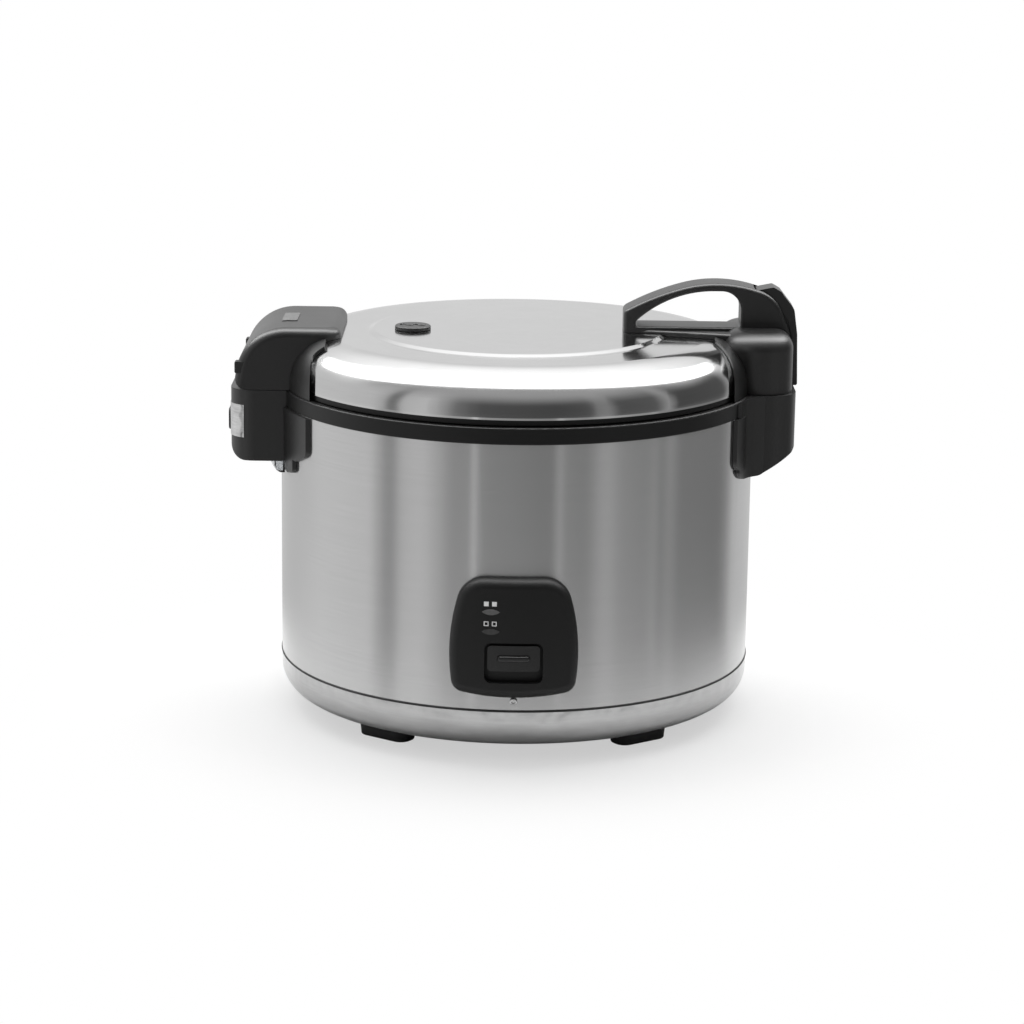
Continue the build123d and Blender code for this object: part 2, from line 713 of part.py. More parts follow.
def lid_stud():
    """Stud in the middle of the lid that holds the inner lid."""
    skin = PLATEAU_Z - SHEET
    return upright(0, 0, 9.0, skin - 2, skin) + upright(0, 0, STUD_RADIUS, 262, skin - 2)


def inner_lid_grommet():
    """Rubber grommet pushed over the stud under the inner lid."""
    top = INNER_LID_Z - INNER_LID_SHEET
    bottom = top - 6
    return turned([(STUD_RADIUS, bottom), (10, bottom), (10, top), (STUD_RADIUS, top)], {1: 2.0})


def vent_tube():
    """Tube that leads steam from the inner lid to the cap."""
    tube = upright(VENT_X, VENT_Y, VENT_TUBE_RADIUS, 262, PLATEAU_Z)
    tube += upright(VENT_X, VENT_Y, VENT_TUBE_RADIUS + 2.6, PLATEAU_Z, PLATEAU_Z + 1.2)
    return tube - upright(VENT_X, VENT_Y, VENT_BORE_RADIUS, 260, PLATEAU_Z + 2)


def vent_cap():
    """Low round steam cap with a short hollow stem in the tube and two steam holes."""
    low = PLATEAU_Z + 0.3
    top = low + 3.2
    cap = upright(VENT_X, VENT_Y, VENT_CAP_RADIUS, low, top)
    cap = fillet(cap.edges().sort_by(Axis.Z)[-1], 1.4)
    cap -= upright(VENT_X, VENT_Y, VENT_TUBE_RADIUS + 3.0, low - 1, PLATEAU_Z + 1.5)
    cap += upright(VENT_X, VENT_Y, VENT_BORE_RADIUS - 0.4, low - 14, low + 2)
    cap -= upright(VENT_X, VENT_Y, VENT_BORE_RADIUS - 2.0, low - 15, low + 2)
    for side in (-3, 3):
        cap -= upright(VENT_X + side, VENT_Y, 1.2, low - 1, low + 6)
    return cap


# Hinge on the lid


def saddle(points, rounds):
    """Thin lip that hugs the lid beside a housing, from one half of its plan, mirrored in Y = 0."""
    lip = lid_form(SADDLE_THICKNESS, PARTING_Z) - lid_form(LID_FIT, PARTING_Z - 1)
    half = outline([(points[0][0], 0)] + points + [(points[-1][0], 0)], rounds)
    plan = half + mirror(half, Plane.XZ)
    return lip & along_z(plan, PARTING_Z, COVER_TOP_Z)


def cover_outline():
    """Side view of the hinge cover in (X, Z): round at the hinge, a long curve up, a blunt tip."""
    left = HINGE_X - COVER_ROUND
    bottom = HINGE_Z - COVER_ROUND
    lean = math.radians(COVER_LEAN)
    start = (left + (COVER_CURVE_Z - HINGE_Z) / math.tan(lean), COVER_CURVE_Z)
    curve_radius = (COVER_TOP_Z - COVER_CURVE_Z) / (1 - math.cos(lean))
    slope = math.sqrt(0.5) * COVER_ROUND
    knuckle = ThreePointArc((HINGE_X, bottom), (HINGE_X - slope, HINGE_Z - slope), (left, HINGE_Z))
    back = JernArc(start, (math.cos(lean), math.sin(lean)), curve_radius, -COVER_LEAN)
    rest = Polyline(back @ 1, (COVER_TIP_X, COVER_TOP_Z), (COVER_TIP_X, bottom), (HINGE_X, bottom))
    return make_face(knuckle + Line((left, HINGE_Z), start) + back + rest)


def hinge_cover():
    """Black cover on the lid with the hinge's knuckles along its outer lower edge."""
    plan = end_plan(-260, COVER_TIP_X, HINGE_HALF_WIDTH, COVER_TIP_CORNER)
    cover = along_y(cover_outline(), HINGE_HALF_WIDTH) & along_z(plan, PARTING_Z - 1, COVER_TOP_Z + 1)
    upper = [edge for edge in cover.edges() if edge.center().Z > COVER_CURVE_Z + 17]
    rim = [edge for edge in upper if abs(edge.center().Y) > 1 or edge.center().X > COVER_TIP_X - 1]
    cover = fillet(rim, COVER_EDGE_ROUND)
    cover += saddle([(-147, 73), (-157, 76), (-157, 96), (-260, 96)], {2: 5.0})
    cover -= lid_form(LID_FIT, PARTING_Z - 3)
    half = HINGE_HALF_WIDTH - 4
    hollow = slab(HINGE_X + COVER_ROUND, COVER_TIP_X - COVER_WALL, -half, half, PARTING_Z - 1, 291)
    cover -= hollow - lid_form(SADDLE_THICKNESS, PARTING_Z - 3)
    for side in (-1, 1):
        cover -= slab(HINGE_X - 12, HINGE_X + KNUCKLE_RADIUS + 1.2, side * (EAR_INNER_Y - EAR_GAP),
                      side * (EAR_OUTER_Y + EAR_GAP), PARTING_Z - 1, HINGE_Z + KNUCKLE_RADIUS + 1.2)
    bore = pin_along_y(HINGE_X, HINGE_Z, HINGE_PIN_RADIUS + PIN_CLEARANCE, -50, 50)
    return cover - bore - lid_screws()


def cover_plate():
    """Small bare plate on top of the hinge cover, bent with it."""
    form = along_y(cover_outline(), HINGE_HALF_WIDTH)
    face = Pos(-177.3, -4) * RectangleRounded(12, 34, 1.5)
    return (Pos(0, 0, PLATE_THICKNESS) * form - form) & along_z(face, COVER_CURVE_Z, COVER_TOP_Z + 1)


def cover_bumpers():
    """Two soft lugs at the cover's outer corners."""
    lugs = []
    for side in (-1, 1):
        lug = slab(-217.5, -207, side * 46.5, side * 54.5, 271.5, 280.5)
        lug = fillet(lug.edges().sort_by(Axis.X)[:4], 1.4)
        lugs.append(lug - hinge_cover())
    return group(*[lug.solids().sort_by(Axis.X)[0] for lug in lugs])


# Hinge on the body


def housing_form(profile, plan):
    """A housing from its side view and its plan, cut to fit round the drum."""
    form = along_y(profile, 120) & along_z(plan, 150, 300)
    form -= drum(BODY_RADIUS + HOUSING_FIT, 150, WALL_TOP_Z)
    return form - drum(COLLAR_RADIUS + HOUSING_FIT, WALL_TOP_Z, 300)


def wing(points, rounds, side):
    """Flange that lies on the drum beside a housing, from its outline in (Y, Z)."""
    ring = drum(BODY_RADIUS + WING_THICKNESS, 150, 300) - drum(BODY_RADIUS + HOUSING_FIT, 149, 301)
    return ring & extrude(Plane.YZ * outline(points, rounds), side * 230)


def hinge_housing():
    """Hollow housing with two ears for the hinge pin and a slot for the dew cup."""
    wall = HOUSING_WALL
    profile = outline([(HINGE_END_X, HINGE_BOTTOM_Z), (-100, HINGE_BOTTOM_Z), (-100, COLLAR_TOP_Z),
                       (HINGE_END_X, COLLAR_TOP_Z)], {0: 12.0})
    outer = housing_form(profile, end_plan(-100, HINGE_END_X, HINGE_HALF_WIDTH, HINGE_CORNER))
    outer &= slab(-300, -150, -200, 200, 150, 300)
    inner_end = HINGE_END_X + wall
    inner = along_y(outline([(inner_end, HINGE_BOTTOM_Z + wall), (-100, HINGE_BOTTOM_Z + wall),
                             (-100, COLLAR_TOP_Z - wall), (inner_end, COLLAR_TOP_Z - wall)], {0: 10.0}), 120)
    inner &= along_z(end_plan(-100, inner_end, HINGE_HALF_WIDTH - wall, HINGE_CORNER - wall), 150, 300)
    top = WALL_TOP_Z - 0.4
    housing = outer + wing([(-99, top), (-99, 216), (-83, 209), (83, 209), (99, 216), (99, top)],
                           {1: 7.0, 4: 7.0}, -1)
    for y in (-77, 57):
        housing += wing([(y, 212), (y, 198), (y + 20, 198), (y + 20, 212)], {1: 4.0, 2: 4.0}, -1)
    housing -= inner
    housing -= sector(CUP_HALF_ANGLE + 0.4, CUP_OUTER_RADIUS + 0.6, 180, CUP_TOP_Z + 2, 180)
    for side in (-1, 1):
        housing += ear(side)
    return housing - hinge_band() - hinge_pin() - housing_screws()


def ear(side):
    """Upright lug round the hinge pin, on the housing's top."""
    y0 = side * EAR_INNER_Y
    y1 = side * EAR_OUTER_Y
    knuckle = pin_along_y(HINGE_X, HINGE_Z, KNUCKLE_RADIUS, min(y0, y1), max(y0, y1))
    left = HINGE_X - KNUCKLE_RADIUS
    return knuckle + slab(left, left + 2 * KNUCKLE_RADIUS, y0, y1, COLLAR_TOP_Z - 1, HINGE_Z)


def hinge_pin():
    """Steel pin of the lid's hinge."""
    return pin_along_y(HINGE_X, HINGE_Z, HINGE_PIN_RADIUS, -47, 47)


def hinge_band():
    """Strip that wraps the housing's outer end."""
    end = HINGE_END_X - BAND_PROUD
    strip = end_plan(-100, end, HINGE_HALF_WIDTH + BAND_PROUD, HINGE_CORNER + BAND_PROUD)
    core = end_plan(-99, end + BAND_THICKNESS, HINGE_HALF_WIDTH + BAND_PROUD - BAND_THICKNESS,
                    HINGE_CORNER + BAND_PROUD - BAND_THICKNESS)
    ring = along_z(strip, BAND_BOTTOM_Z, BAND_TOP_Z) - along_z(core, BAND_BOTTOM_Z - 1, BAND_TOP_Z + 1)
    return ring & slab(-240, -210.5, -80, 80, BAND_BOTTOM_Z, BAND_TOP_Z)


def end_pad():
    """Soft pad on the band, which keeps the cooker off a wall."""
    face = Pos(0, 229) * RectangleRounded(46, 17, 4)
    pad = Pos(PAD_END_X, 0, 0) * extrude(Plane.YZ * face, HINGE_END_X - BAND_PROUD - PAD_END_X)
    return fillet(pad.faces().sort_by(Axis.X)[0].edges(), 1.0)


def dew_cup():
    """Clear cup that hugs the wall under the hinge, curved in at its foot."""
    cup = turned([(CUP_INNER_RADIUS, CUP_BOTTOM_Z), (CUP_OUTER_RADIUS, CUP_BOTTOM_Z),
                  (CUP_OUTER_RADIUS, CUP_TOP_Z), (CUP_INNER_RADIUS, CUP_TOP_Z)], {1: 6.0})
    cup &= sector(CUP_HALF_ANGLE, 230, 150, 250, 180)
    inner = CUP_INNER_RADIUS + CUP_WALL
    outer = CUP_OUTER_RADIUS - CUP_WALL
    floor = CUP_BOTTOM_Z + CUP_WALL
    mouth = CUP_TOP_Z + 1
    hollow = turned([(inner, floor), (outer, floor), (outer, mouth), (inner, mouth)], {1: 4.4})
    return cup - (hollow & sector(CUP_HALF_ANGLE - 0.6, 230, 150, 250, 180))


def housing_screws():
    """Screws from inside the wall into both housings' flanges."""
    inside = BODY_RADIUS - SHEET
    screw = pin_along_x(0, 0, SCREW_HEAD_RADIUS, inside - 1.8, inside)
    screw += pin_along_x(0, 0, SCREW_SHANK_RADIUS, inside, BODY_RADIUS + 2.4)
    angles = [180 - 26, 180 + 26, -22, 22]
    return group(*[Rot(0, 0, angle) * Pos(0, 0, z) * screw for angle in angles for z in (217, 229)])


# Latch on the body


def flared_plan():
    """Plan of the latch housing: round corners at its end, and sides that sweep out onto the drum."""
    foot = (171.0, 78.0)
    bend = (176.8, 64.8)
    side = (191.0, LATCH_HALF_WIDTH)
    end = Polyline(side, (LATCH_END_X, LATCH_HALF_WIDTH), (LATCH_END_X, -LATCH_HALF_WIDTH),
                   (side[0], -side[1]))
    near = ThreePointArc((side[0], -side[1]), (bend[0], -bend[1]), (foot[0], -foot[1]))
    back = Polyline((foot[0], -foot[1]), (100, -foot[1]), (100, foot[1]), foot)
    face = make_face(end + near + back + ThreePointArc(foot, bend, side))
    return fillet(face.vertices().sort_by(Axis.X)[-2:], LATCH_CORNER)


def latch_housing():
    """Hollow housing with a slanted bottom and a slot for the latch's hook."""
    wall = HOUSING_WALL
    slant_z = 214.0
    profile = outline([(100, LATCH_BOTTOM_Z), (188, LATCH_BOTTOM_Z), (LATCH_END_X - 2.6, slant_z - 1.6),
                       (LATCH_END_X, slant_z + 2), (LATCH_END_X, COLLAR_TOP_Z), (100, COLLAR_TOP_Z)],
                      {1: 8.0})
    outer = housing_form(profile, flared_plan())
    side_view = outline([(-80, 300), (-80, LATCH_BOTTOM_Z), (80, LATCH_BOTTOM_Z), (80, 300)],
                        {1: 14.0, 2: 14.0})
    outer &= Pos(150, 0, 0) * extrude(Plane.YZ * side_view, 100)
    inner_end = LATCH_END_X - wall + 0.4
    floor = LATCH_BOTTOM_Z + wall
    roof = COLLAR_TOP_Z - wall
    inner = along_y(outline([(100, floor), (187, floor), (inner_end, slant_z + wall), (inner_end, roof),
                             (100, roof)], {1: 6.0}), 120)
    inner &= along_z(end_plan(100, inner_end, LATCH_HALF_WIDTH - wall, LATCH_CORNER - wall), 150, 300)
    top = WALL_TOP_Z - 0.4
    flange = wing([(-84, top), (-84, 205), (84, 205), (84, top)], {1: 9.0, 2: 9.0}, 1)
    housing = outer + flange - inner
    slot = LEVER_HALF_WIDTH + 0.8
    return housing - slab(199.6, 215, -slot, slot, 250, 300) - housing_screws()


def latch_keeper():
    """Steel bracket under the housing's top that the hook catches."""
    top = COLLAR_TOP_Z - HOUSING_WALL
    keeper = slab(190, 203.6, -14, 14, 246, 247.8)
    return keeper + slab(190, 191.8, -14, 14, 246, top) + slab(191.8, 198, -14, 14, top - 1.8, top)


# Latch and handle on the lid


def rounded_corners(face, corners):
    """An outline with the corners nearest to the given points rounded."""
    for point, radius in corners:
        face = fillet(face.vertices().sort_by_distance(Vector(*point))[0], radius)
    return face


def arch_outline():
    """Side view of the arched handle and its outer post, in (X, Z)."""
    nose = (82.0, 317.0)
    rise = ThreePointArc(nose, (105.4, 328.4), (127, 335.8))
    crown = TangentArc((127, 335.8), (184, 335.2), tangent=rise % 1)
    knee = crown @ 1 + (crown % 1) * 17
    heel = (HANDLE_END_X, 297)
    base = Polyline(crown @ 1, knee, heel, (HANDLE_END_X, PARTING_Z), (165, PARTING_Z), (165, 291),
                    (nose[0], 291), nose)
    return rounded_corners(make_face(rise + crown + base), [(knee, 28.0), (heel, 40.0), (nose, 5.0)])


def finger_gap_outline():
    """Side view of the finger gap under the arch, in (X, Z)."""
    left, right, top = 91.5, 173.0, 333.4
    roof = TangentArc((152.5, top), (left, 309), tangent=(-1, 0))
    bottom = HANDLE_TOP_Z
    sides = Polyline((left, 309), (left, bottom), (right, bottom), (right, top), (152.5, top))
    corners = [((right, top), 15.0), ((left, 309), 3.0), ((left, bottom), 1.5), ((right, bottom), 2.0)]
    return rounded_corners(make_face(sides + roof), corners)


def handle_arch():
    """The arch itself, with soft edges along its outside and round the finger gap."""
    arch = along_y(arch_outline(), ARCH_HALF_WIDTH)
    sides = [edge for edge in arch.edges() if abs(edge.center().Y) > ARCH_HALF_WIDTH - 1]
    arch = fillet([edge for edge in sides if edge.center().Z > 300], ARCH_EDGE_ROUND)
    arch -= along_y(finger_gap_outline(), ARCH_HALF_WIDTH + 1)
    ends = [arch.faces().sort_by(Axis.Y)[number] for number in (0, -1)]
    return fillet([edge for face in ends for edge in face.inner_wires()[0].edges()], GAP_EDGE_ROUND)


def handle_bar():
    """Low boat-shaped bar under the arch, which widens towards the post."""
    nose = (84.0, 13.0)
    middle = (140.0, 24.0)
    root = (178.0, 34.0)
    side = ThreePointArc(nose, middle, root)
    other = ThreePointArc((root[0], -root[1]), (middle[0], -middle[1]), (nose[0], -nose[1]))
    ends = Line(root, (root[0], -root[1])) + Line((nose[0], -nose[1]), nose)
    bar = along_z(make_face(side + other + ends), 288, BAR_TOP_Z)
    return fillet(bar.faces().sort_by(Axis.Z)[-1].edges(), 2.4)


def post_plan(inset):
    """Plan of the handle's post, with wide corners towards the lid's middle."""
    plan = end_plan(HANDLE_INNER_X + inset, HANDLE_END_X - inset, HANDLE_HALF_WIDTH - inset,
                    LATCH_CORNER - inset)
    return fillet(plan.vertices().sort_by(Axis.X)[:2], HANDLE_INNER_CORNER - inset)


def handle_post():
    """Broad housing at the handle's outer end."""
    post = along_z(post_plan(0), PARTING_Z, HANDLE_TOP_Z)
    return fillet(post.faces().sort_by(Axis.Z)[-1].edges(), HANDLE_TOP_ROUND)


def lid_handle():
    """Arched handle with its hollow post, its lip on the lid and a slot for the latch lever."""
    lip = saddle([(152, 40), (160, 56), (165, 70), (166, 92), (260, 92)], {2: 20.0, 3: 10.0})
    handle = handle_post() + handle_bar() + handle_arch() + lip
    handle -= lid_form(LID_FIT, PARTING_Z - 3)
    hollow = along_z(post_plan(3.0), PARTING_Z - 1, HANDLE_TOP_Z - HANDLE_TOP_ROUND + 4)
    handle -= hollow - lid_form(SADDLE_THICKNESS, PARTING_Z - 3)
    slot = LEVER_HALF_WIDTH + LEVER_SIDE_GAP
    below = PARTING_Z - 1
    pocket = outline([(181, below), (181, 330), (183.4, 333), (183.9, 350), (240, 350), (240, below)])
    handle -= along_y(pocket, slot)
    return handle - latch_pin() - lid_screws()


def latch_pin():
    """Steel pin that the latch lever turns on."""
    return pin_along_y(LATCH_PIVOT_X, LATCH_PIVOT_Z, LATCH_PIN_RADIUS, -13.5, 13.5)


def latch_lever():
    """Lever with a thumb tab on top, a skin down the handle's end and a hook inside the housing."""
    skin = outline([(185.4, 334.0), (198.2, 336.6), (204.2, 333.2), (214.8, 319.6), (217.6, 300),
                    (218.8, 259.6), (214.4, 259.6), (213.2, 299), (210.0, 311), (200.2, 324.4),
                    (195.4, 328.4), (185.4, 329.8)],
                   {1: 2.5, 2: 3.0, 3: 8.0, 4: 20.0, 5: 1.5, 7: 15.0, 10: 4.0})
    web = outline([(185.5, 316), (189, 325), (199, 330), (212, 312), (214, 300), (206, 302)])
    arm = outline([(205, 302), (205, 246), (200.6, 245.4), (200.6, 241.6), (203, 240.6), (209.4, 240.6),
                   (209.4, 262), (214.8, 266), (214.8, 302)])
    inner_half = LEVER_HALF_WIDTH - 2.5
    lever = along_y(skin, LEVER_HALF_WIDTH) + along_y(web, inner_half) + along_y(arm, inner_half)
    boss = pin_along_y(LATCH_PIVOT_X, LATCH_PIVOT_Z, 5.0, -LEVER_HALF_WIDTH, LEVER_HALF_WIDTH)
    bore = pin_along_y(LATCH_PIVOT_X, LATCH_PIVOT_Z, LATCH_PIN_RADIUS + PIN_CLEARANCE, -20, 20)
    return lever + boss - bore


def latch_spring():
    """Leaf spring between the handle and the lever's web."""
    leaf = outline([(181, 300), (181.6, 300), (181.6, 312), (184.6, 326.2), (188.6, 327.6), (188.6, 328.2),
                    (184.2, 326.8), (181, 312.2)])
    return along_y(leaf, 4.0)


NODES = {
    "body_shell": body_shell(),
    "base_ring": base_ring(),
    "bottom_plate": bottom_plate(),
    "foot_screws": foot_screws(),
    "collar_ring": collar_ring(),
    "inner_pot": inner_pot(),
    "inner_liner": inner_liner(),
    "warm_band": warm_band(),
    "heating_plate": heating_plate(),
    "heater_tube": heater_tube(),
    "plate_posts": plate_posts(),
    "sensor_cap": sensor_cap(),
    "sensor_ferrite": sensor_ferrite(),
    "sensor_bracket": sensor_bracket(),
    "sensor_spring": sensor_spring(),
    "magnet_plunger": magnet_plunger(),
    "switch_lever": switch_lever(),
    "lever_bracket": lever_bracket(),
    "lever_pin": lever_pin(),
    "micro_switch": micro_switch(),
    "control_panel": control_panel(),
    "panel_screw": panel_screw(),
    "lamp_holder": lamp_holder(),
    "neon_lamps": neon_lamps(),
    "thermal_fuse": thermal_fuse(),
    "terminal_block": terminal_block(),
    "wiring": wiring(),
    "power_inlet": power_inlet(),
    "inlet_pins": inlet_pins(),
    "lid_shell": lid_shell(),
    "lid_trim_ring": lid_trim_ring(),
    "lid_screws": lid_screws(),
    "inner_lid": inner_lid(),
    "lid_gasket": lid_gasket(),
    "lid_insulation": lid_insulation(),
    "lid_stud": lid_stud(),
    "inner_lid_grommet": inner_lid_grommet(),
    "vent_tube": vent_tube(),
    "vent_cap": vent_cap(),
    "hinge_cover": hinge_cover(),
    "cover_plate": cover_plate(),
    "cover_bumpers": cover_bumpers(),
    "hinge_housing": hinge_housing(),
    "hinge_pin": hinge_pin(),
    "hinge_band": hinge_band(),
    "end_pad": end_pad(),
    "dew_cup": dew_cup(),
    "housing_screws": housing_screws(),
    "latch_housing": latch_housing(),
    "latch_keeper": latch_keeper(),
    "lid_handle": lid_handle(),
    "latch_lever": latch_lever(),
    "latch_pin": latch_pin(),
    "latch_spring": latch_spring(),
}
for name, place in foot_places():
    NODES[name] = foot(place)
for lamp, height in LENS_Z.items():
    NODES[f"lens_{lamp}"] = lens(height)

os.makedirs("parts", exist_ok=True)
for name, shape in NODES.items():
    export_step(shape, f"parts/{name}.step")
print(len(NODES), "pieces written")
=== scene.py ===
# %% [markdown]
# A large rice cooker with a hinged steel lid. The solids come from the imported model: this lesson
# gives each of them its finish, adds the small pieces that solids leave out, and lights a plain
# studio.

# %% Load the solids
import math

import bmesh
import bpy
from mathutils import Matrix, Vector


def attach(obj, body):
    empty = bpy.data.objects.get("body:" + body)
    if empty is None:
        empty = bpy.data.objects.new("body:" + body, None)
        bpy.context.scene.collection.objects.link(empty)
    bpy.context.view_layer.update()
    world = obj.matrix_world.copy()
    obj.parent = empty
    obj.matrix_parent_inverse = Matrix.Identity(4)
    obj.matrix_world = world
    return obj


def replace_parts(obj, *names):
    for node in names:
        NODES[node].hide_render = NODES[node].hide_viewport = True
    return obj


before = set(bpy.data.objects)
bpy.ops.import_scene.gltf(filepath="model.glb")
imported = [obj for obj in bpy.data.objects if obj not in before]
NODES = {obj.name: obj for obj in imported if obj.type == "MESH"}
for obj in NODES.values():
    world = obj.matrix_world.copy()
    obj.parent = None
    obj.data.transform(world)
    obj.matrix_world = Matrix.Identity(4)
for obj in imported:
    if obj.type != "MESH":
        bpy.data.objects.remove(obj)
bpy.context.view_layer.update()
MM = 0.001

# %% [markdown]
# A material is a graph of nodes. Wiring it by hand is long, so one small class wraps a socket: sums
# and products of sockets add Math nodes, and one method adds any other node. Colours and vectors
# go through that method too, because a Math node would turn a colour grey.

# %% A socket that can be calculated with
class Wire:
    """A socket in a node tree; arithmetic on it adds Math nodes."""

    def __init__(self, tree, socket=None):
        self.tree = tree
        self.socket = socket

    def node(self, kind, settings=None, sockets=None, out=0):
        """Adds a node: its settings first, then the values or links of its sockets."""
        made = self.tree.nodes.new(kind)
        for name, value in (settings or {}).items():
            if name == "stops":
                fill_ramp(made.color_ramp, value)
            else:
                setattr(made, name, value)
        for name, value in (sockets or {}).items():
            if isinstance(value, Wire):
                self.tree.links.new(value.socket, made.inputs[name])
            else:
                made.inputs[name].default_value = value
        return Wire(self.tree, made.outputs[out] if len(made.outputs) else None)

    def math(self, operation, *values):
        return self.node("ShaderNodeMath", {"operation": operation}, dict(enumerate(values)))

    def __add__(self, other):
        return self.math("ADD", self, other)

    def __sub__(self, other):
        return self.math("SUBTRACT", self, other)

    def __rsub__(self, other):
        return self.math("SUBTRACT", other, self)

    def __mul__(self, other):
        return self.math("MULTIPLY", self, other)

    __radd__ = __add__
    __rmul__ = __mul__

    def between(self, low, high):
        """0 below low, 1 above high, and a smooth rise from one to the other."""
        limits = {"Value": self, "From Min": low, "From Max": high}
        return self.node("ShaderNodeMapRange", {"interpolation_type": "SMOOTHSTEP"}, limits)

    def noise(self, scale, detail=2.0, roughness=0.5):
        """Cloudy noise over this vector, around one half."""
        return self.node("ShaderNodeTexNoise", {}, {"Vector": self, "Scale": scale, "Detail": detail,
                                                    "Roughness": roughness})

    def tone(self, dark, light):
        """A grey or a colour that goes from dark to light with this value."""
        return self.node("ShaderNodeMix", {"data_type": "RGBA"},
                         {0: self, 6: colour(dark), 7: colour(light)}, out=2)


def colour(tone):
    """Four numbers from a grey or from three."""
    return (tone, tone, tone, 1.0) if isinstance(tone, float) else (*tone, 1.0)


def fill_ramp(ramp, stops):
    """Puts the stops of (place, grey) on a colour ramp."""
    while len(ramp.elements) < len(stops):
        ramp.elements.new(0.5)
    for element, (place, tone) in zip(ramp.elements, stops):
        element.position = place
        element.color = colour(tone)


# %% [markdown]
# Every finish reads Object coordinates, which here are metres in the cooker's own frame. On a round
# piece the lines left by rolling and polishing run around the axis, so the angle and the radius are
# worked out from X and Y.

# %% Starting a finish
class Place:
    """Where a point of the surface is: the whole vector, its height, and its angle and radius."""

    def __init__(self, start):
        self.vector = start.node("ShaderNodeTexCoord", out="Object")
        split = start.node("ShaderNodeSeparateXYZ", {}, {0: self.vector})
        outputs = split.socket.node.outputs
        x, y, self.height = [Wire(start.tree, socket) for socket in outputs]
        self.angle = start.math("ARCTAN2", y, x)
        self.radius = start.math("SQRT", x * x + y * y)

    def stretched(self, first, second, third=0.0):
        """A vector made of three values, for noise that is drawn out in one direction."""
        return self.height.node("ShaderNodeCombineXYZ", {}, {0: first, 1: second, 2: third})


def new_finish(name):
    """An empty material, the start of its graph, and where each point is."""
    material = bpy.data.materials.new(name)
    material.use_nodes = True
    material.node_tree.nodes.clear()
    start = Wire(material.node_tree)
    return material, start, Place(start)


def close_finish(start, sockets, height=None, depth=0.0, strength=1.0):
    """Ends a graph in a Principled shader, with a bump of the given depth in metres."""
    if height is not None:
        bump = {"Height": height, "Distance": depth, "Strength": strength}
        sockets = {**sockets, "Normal": start.node("ShaderNodeBump", {}, bump)}
    shader = start.node("ShaderNodeBsdfPrincipled", {}, sockets)
    start.node("ShaderNodeOutputMaterial", {}, {"Surface": shader})


# %% [markdown]
# The drum's wall is stainless sheet with fine lines left by a belt that ran around it. Light that
# meets such lines is spread up and down, so reflections become upright bands. The shader's
# anisotropy spreads the highlight, and two noises that are long around the drum and very short in
# height draw the lines that are seen from near. A third noise, long in height, is the slight
# waviness of rolled sheet, which makes the edges of the bands wander.

# %% Brushed steel
DRUM_RADIUS = 0.185


def brushed_steel(name, tone, rough):
    """Sheet with lines around the drum; the noises are scaled in lines per metre."""
    material, start, place = new_finish(name)
    around = place.angle * DRUM_RADIUS
    fine = place.stretched(around * 24.0, place.height * 3600.0).noise(1.0, 3.0, 0.6)
    broad = place.stretched(around * 6.0, place.height * 700.0).noise(1.0, 2.0)
    lines = fine * 0.6 + broad * 0.4
    waves = place.stretched(around * 55.0, place.height * 2.5).noise(1.0, 2.0)
    handling = place.vector.noise(9.0, 3.0)
    sockets = {
        "Base Color": lines.tone(tone - 0.06, tone + 0.05),
        "Metallic": 1.0,
        "Roughness": rough + lines * 0.05 + handling * 0.03,
        "Anisotropic": 1.0,
        "Anisotropic Rotation": 0.25,
    }
    close_finish(start, sockets, lines * 0.5 + waves, 0.00005, 0.5)
    return material


WALL_STEEL = brushed_steel("drum_brushed_steel", tone=0.60, rough=0.17)
SHEET_STEEL = brushed_steel("inner_sheet_steel", tone=0.52, rough=0.28)
print("brushed finishes", WALL_STEEL.name, SHEET_STEEL.name)

# %% [markdown]
# The lid and the ring under the drum are polished on a wheel while they turn, which leaves faint
# rings and a little haze. A low roughness with soft clouds in it gives the haze, and a very shallow
# bump over the radius gives the rings. Thin sheet is never quite flat, so pressed pieces also get
# broad shallow dents, which make reflections waver.

# %% Polished steel
def polished_steel(name, tone, rough, ring_depth, dents=0.0, spread=0.03):
    """Polished sheet; the depths of the rings and the dents are in metres."""
    material, start, place = new_finish(name)
    rings = place.stretched(place.angle * 1.5, place.radius * 1500.0, place.height * 900.0).noise(1.0, 2.0)
    haze = place.vector.noise(14.0, 3.0, 0.6)
    wiped = place.stretched(place.angle * 5.0, place.radius * 90.0, place.height * 420.0).noise(1.0, 3.0, 0.6)
    hollows = place.stretched(place.angle * 12.0, place.radius * 30.0, place.height * 55.0).noise(1.0, 1.0)
    sockets = {
        "Base Color": (haze * 0.5 + wiped * 0.5).between(0.35, 0.65).tone(tone - spread, tone + spread),
        "Metallic": 1.0,
        "Roughness": rough + haze * 0.04 + wiped * 0.04,
    }
    close_finish(start, sockets, rings + hollows * (dents / ring_depth), ring_depth, 0.3)
    return material


LID_STEEL = polished_steel("lid_polished_steel", tone=0.66, rough=0.07, ring_depth=6e-6, spread=0.015)
RING_STEEL = polished_steel("ring_polished_steel", tone=0.50, rough=0.14, ring_depth=6e-6, dents=0.003)
BAND_STEEL = polished_steel("band_polished_steel", tone=0.70, rough=0.06, ring_depth=4e-6, dents=0.012,
                            spread=0.10)
SCREW_STEEL = polished_steel("plated_fasteners", tone=0.62, rough=0.20, ring_depth=1e-5)
WIRE_STEEL = polished_steel("spring_wire", tone=0.50, rough=0.28, ring_depth=1e-5)
print("polished finishes ready")

# %% [markdown]
# Handles, housings and the switch panel are moulded in black plastic. Such a mould is spark-eroded,
# which leaves a fine grain on the plastic. The grain is a shallow bump at under a millimetre, and
# hands polish the plastic unevenly, so the roughness drifts in larger clouds.

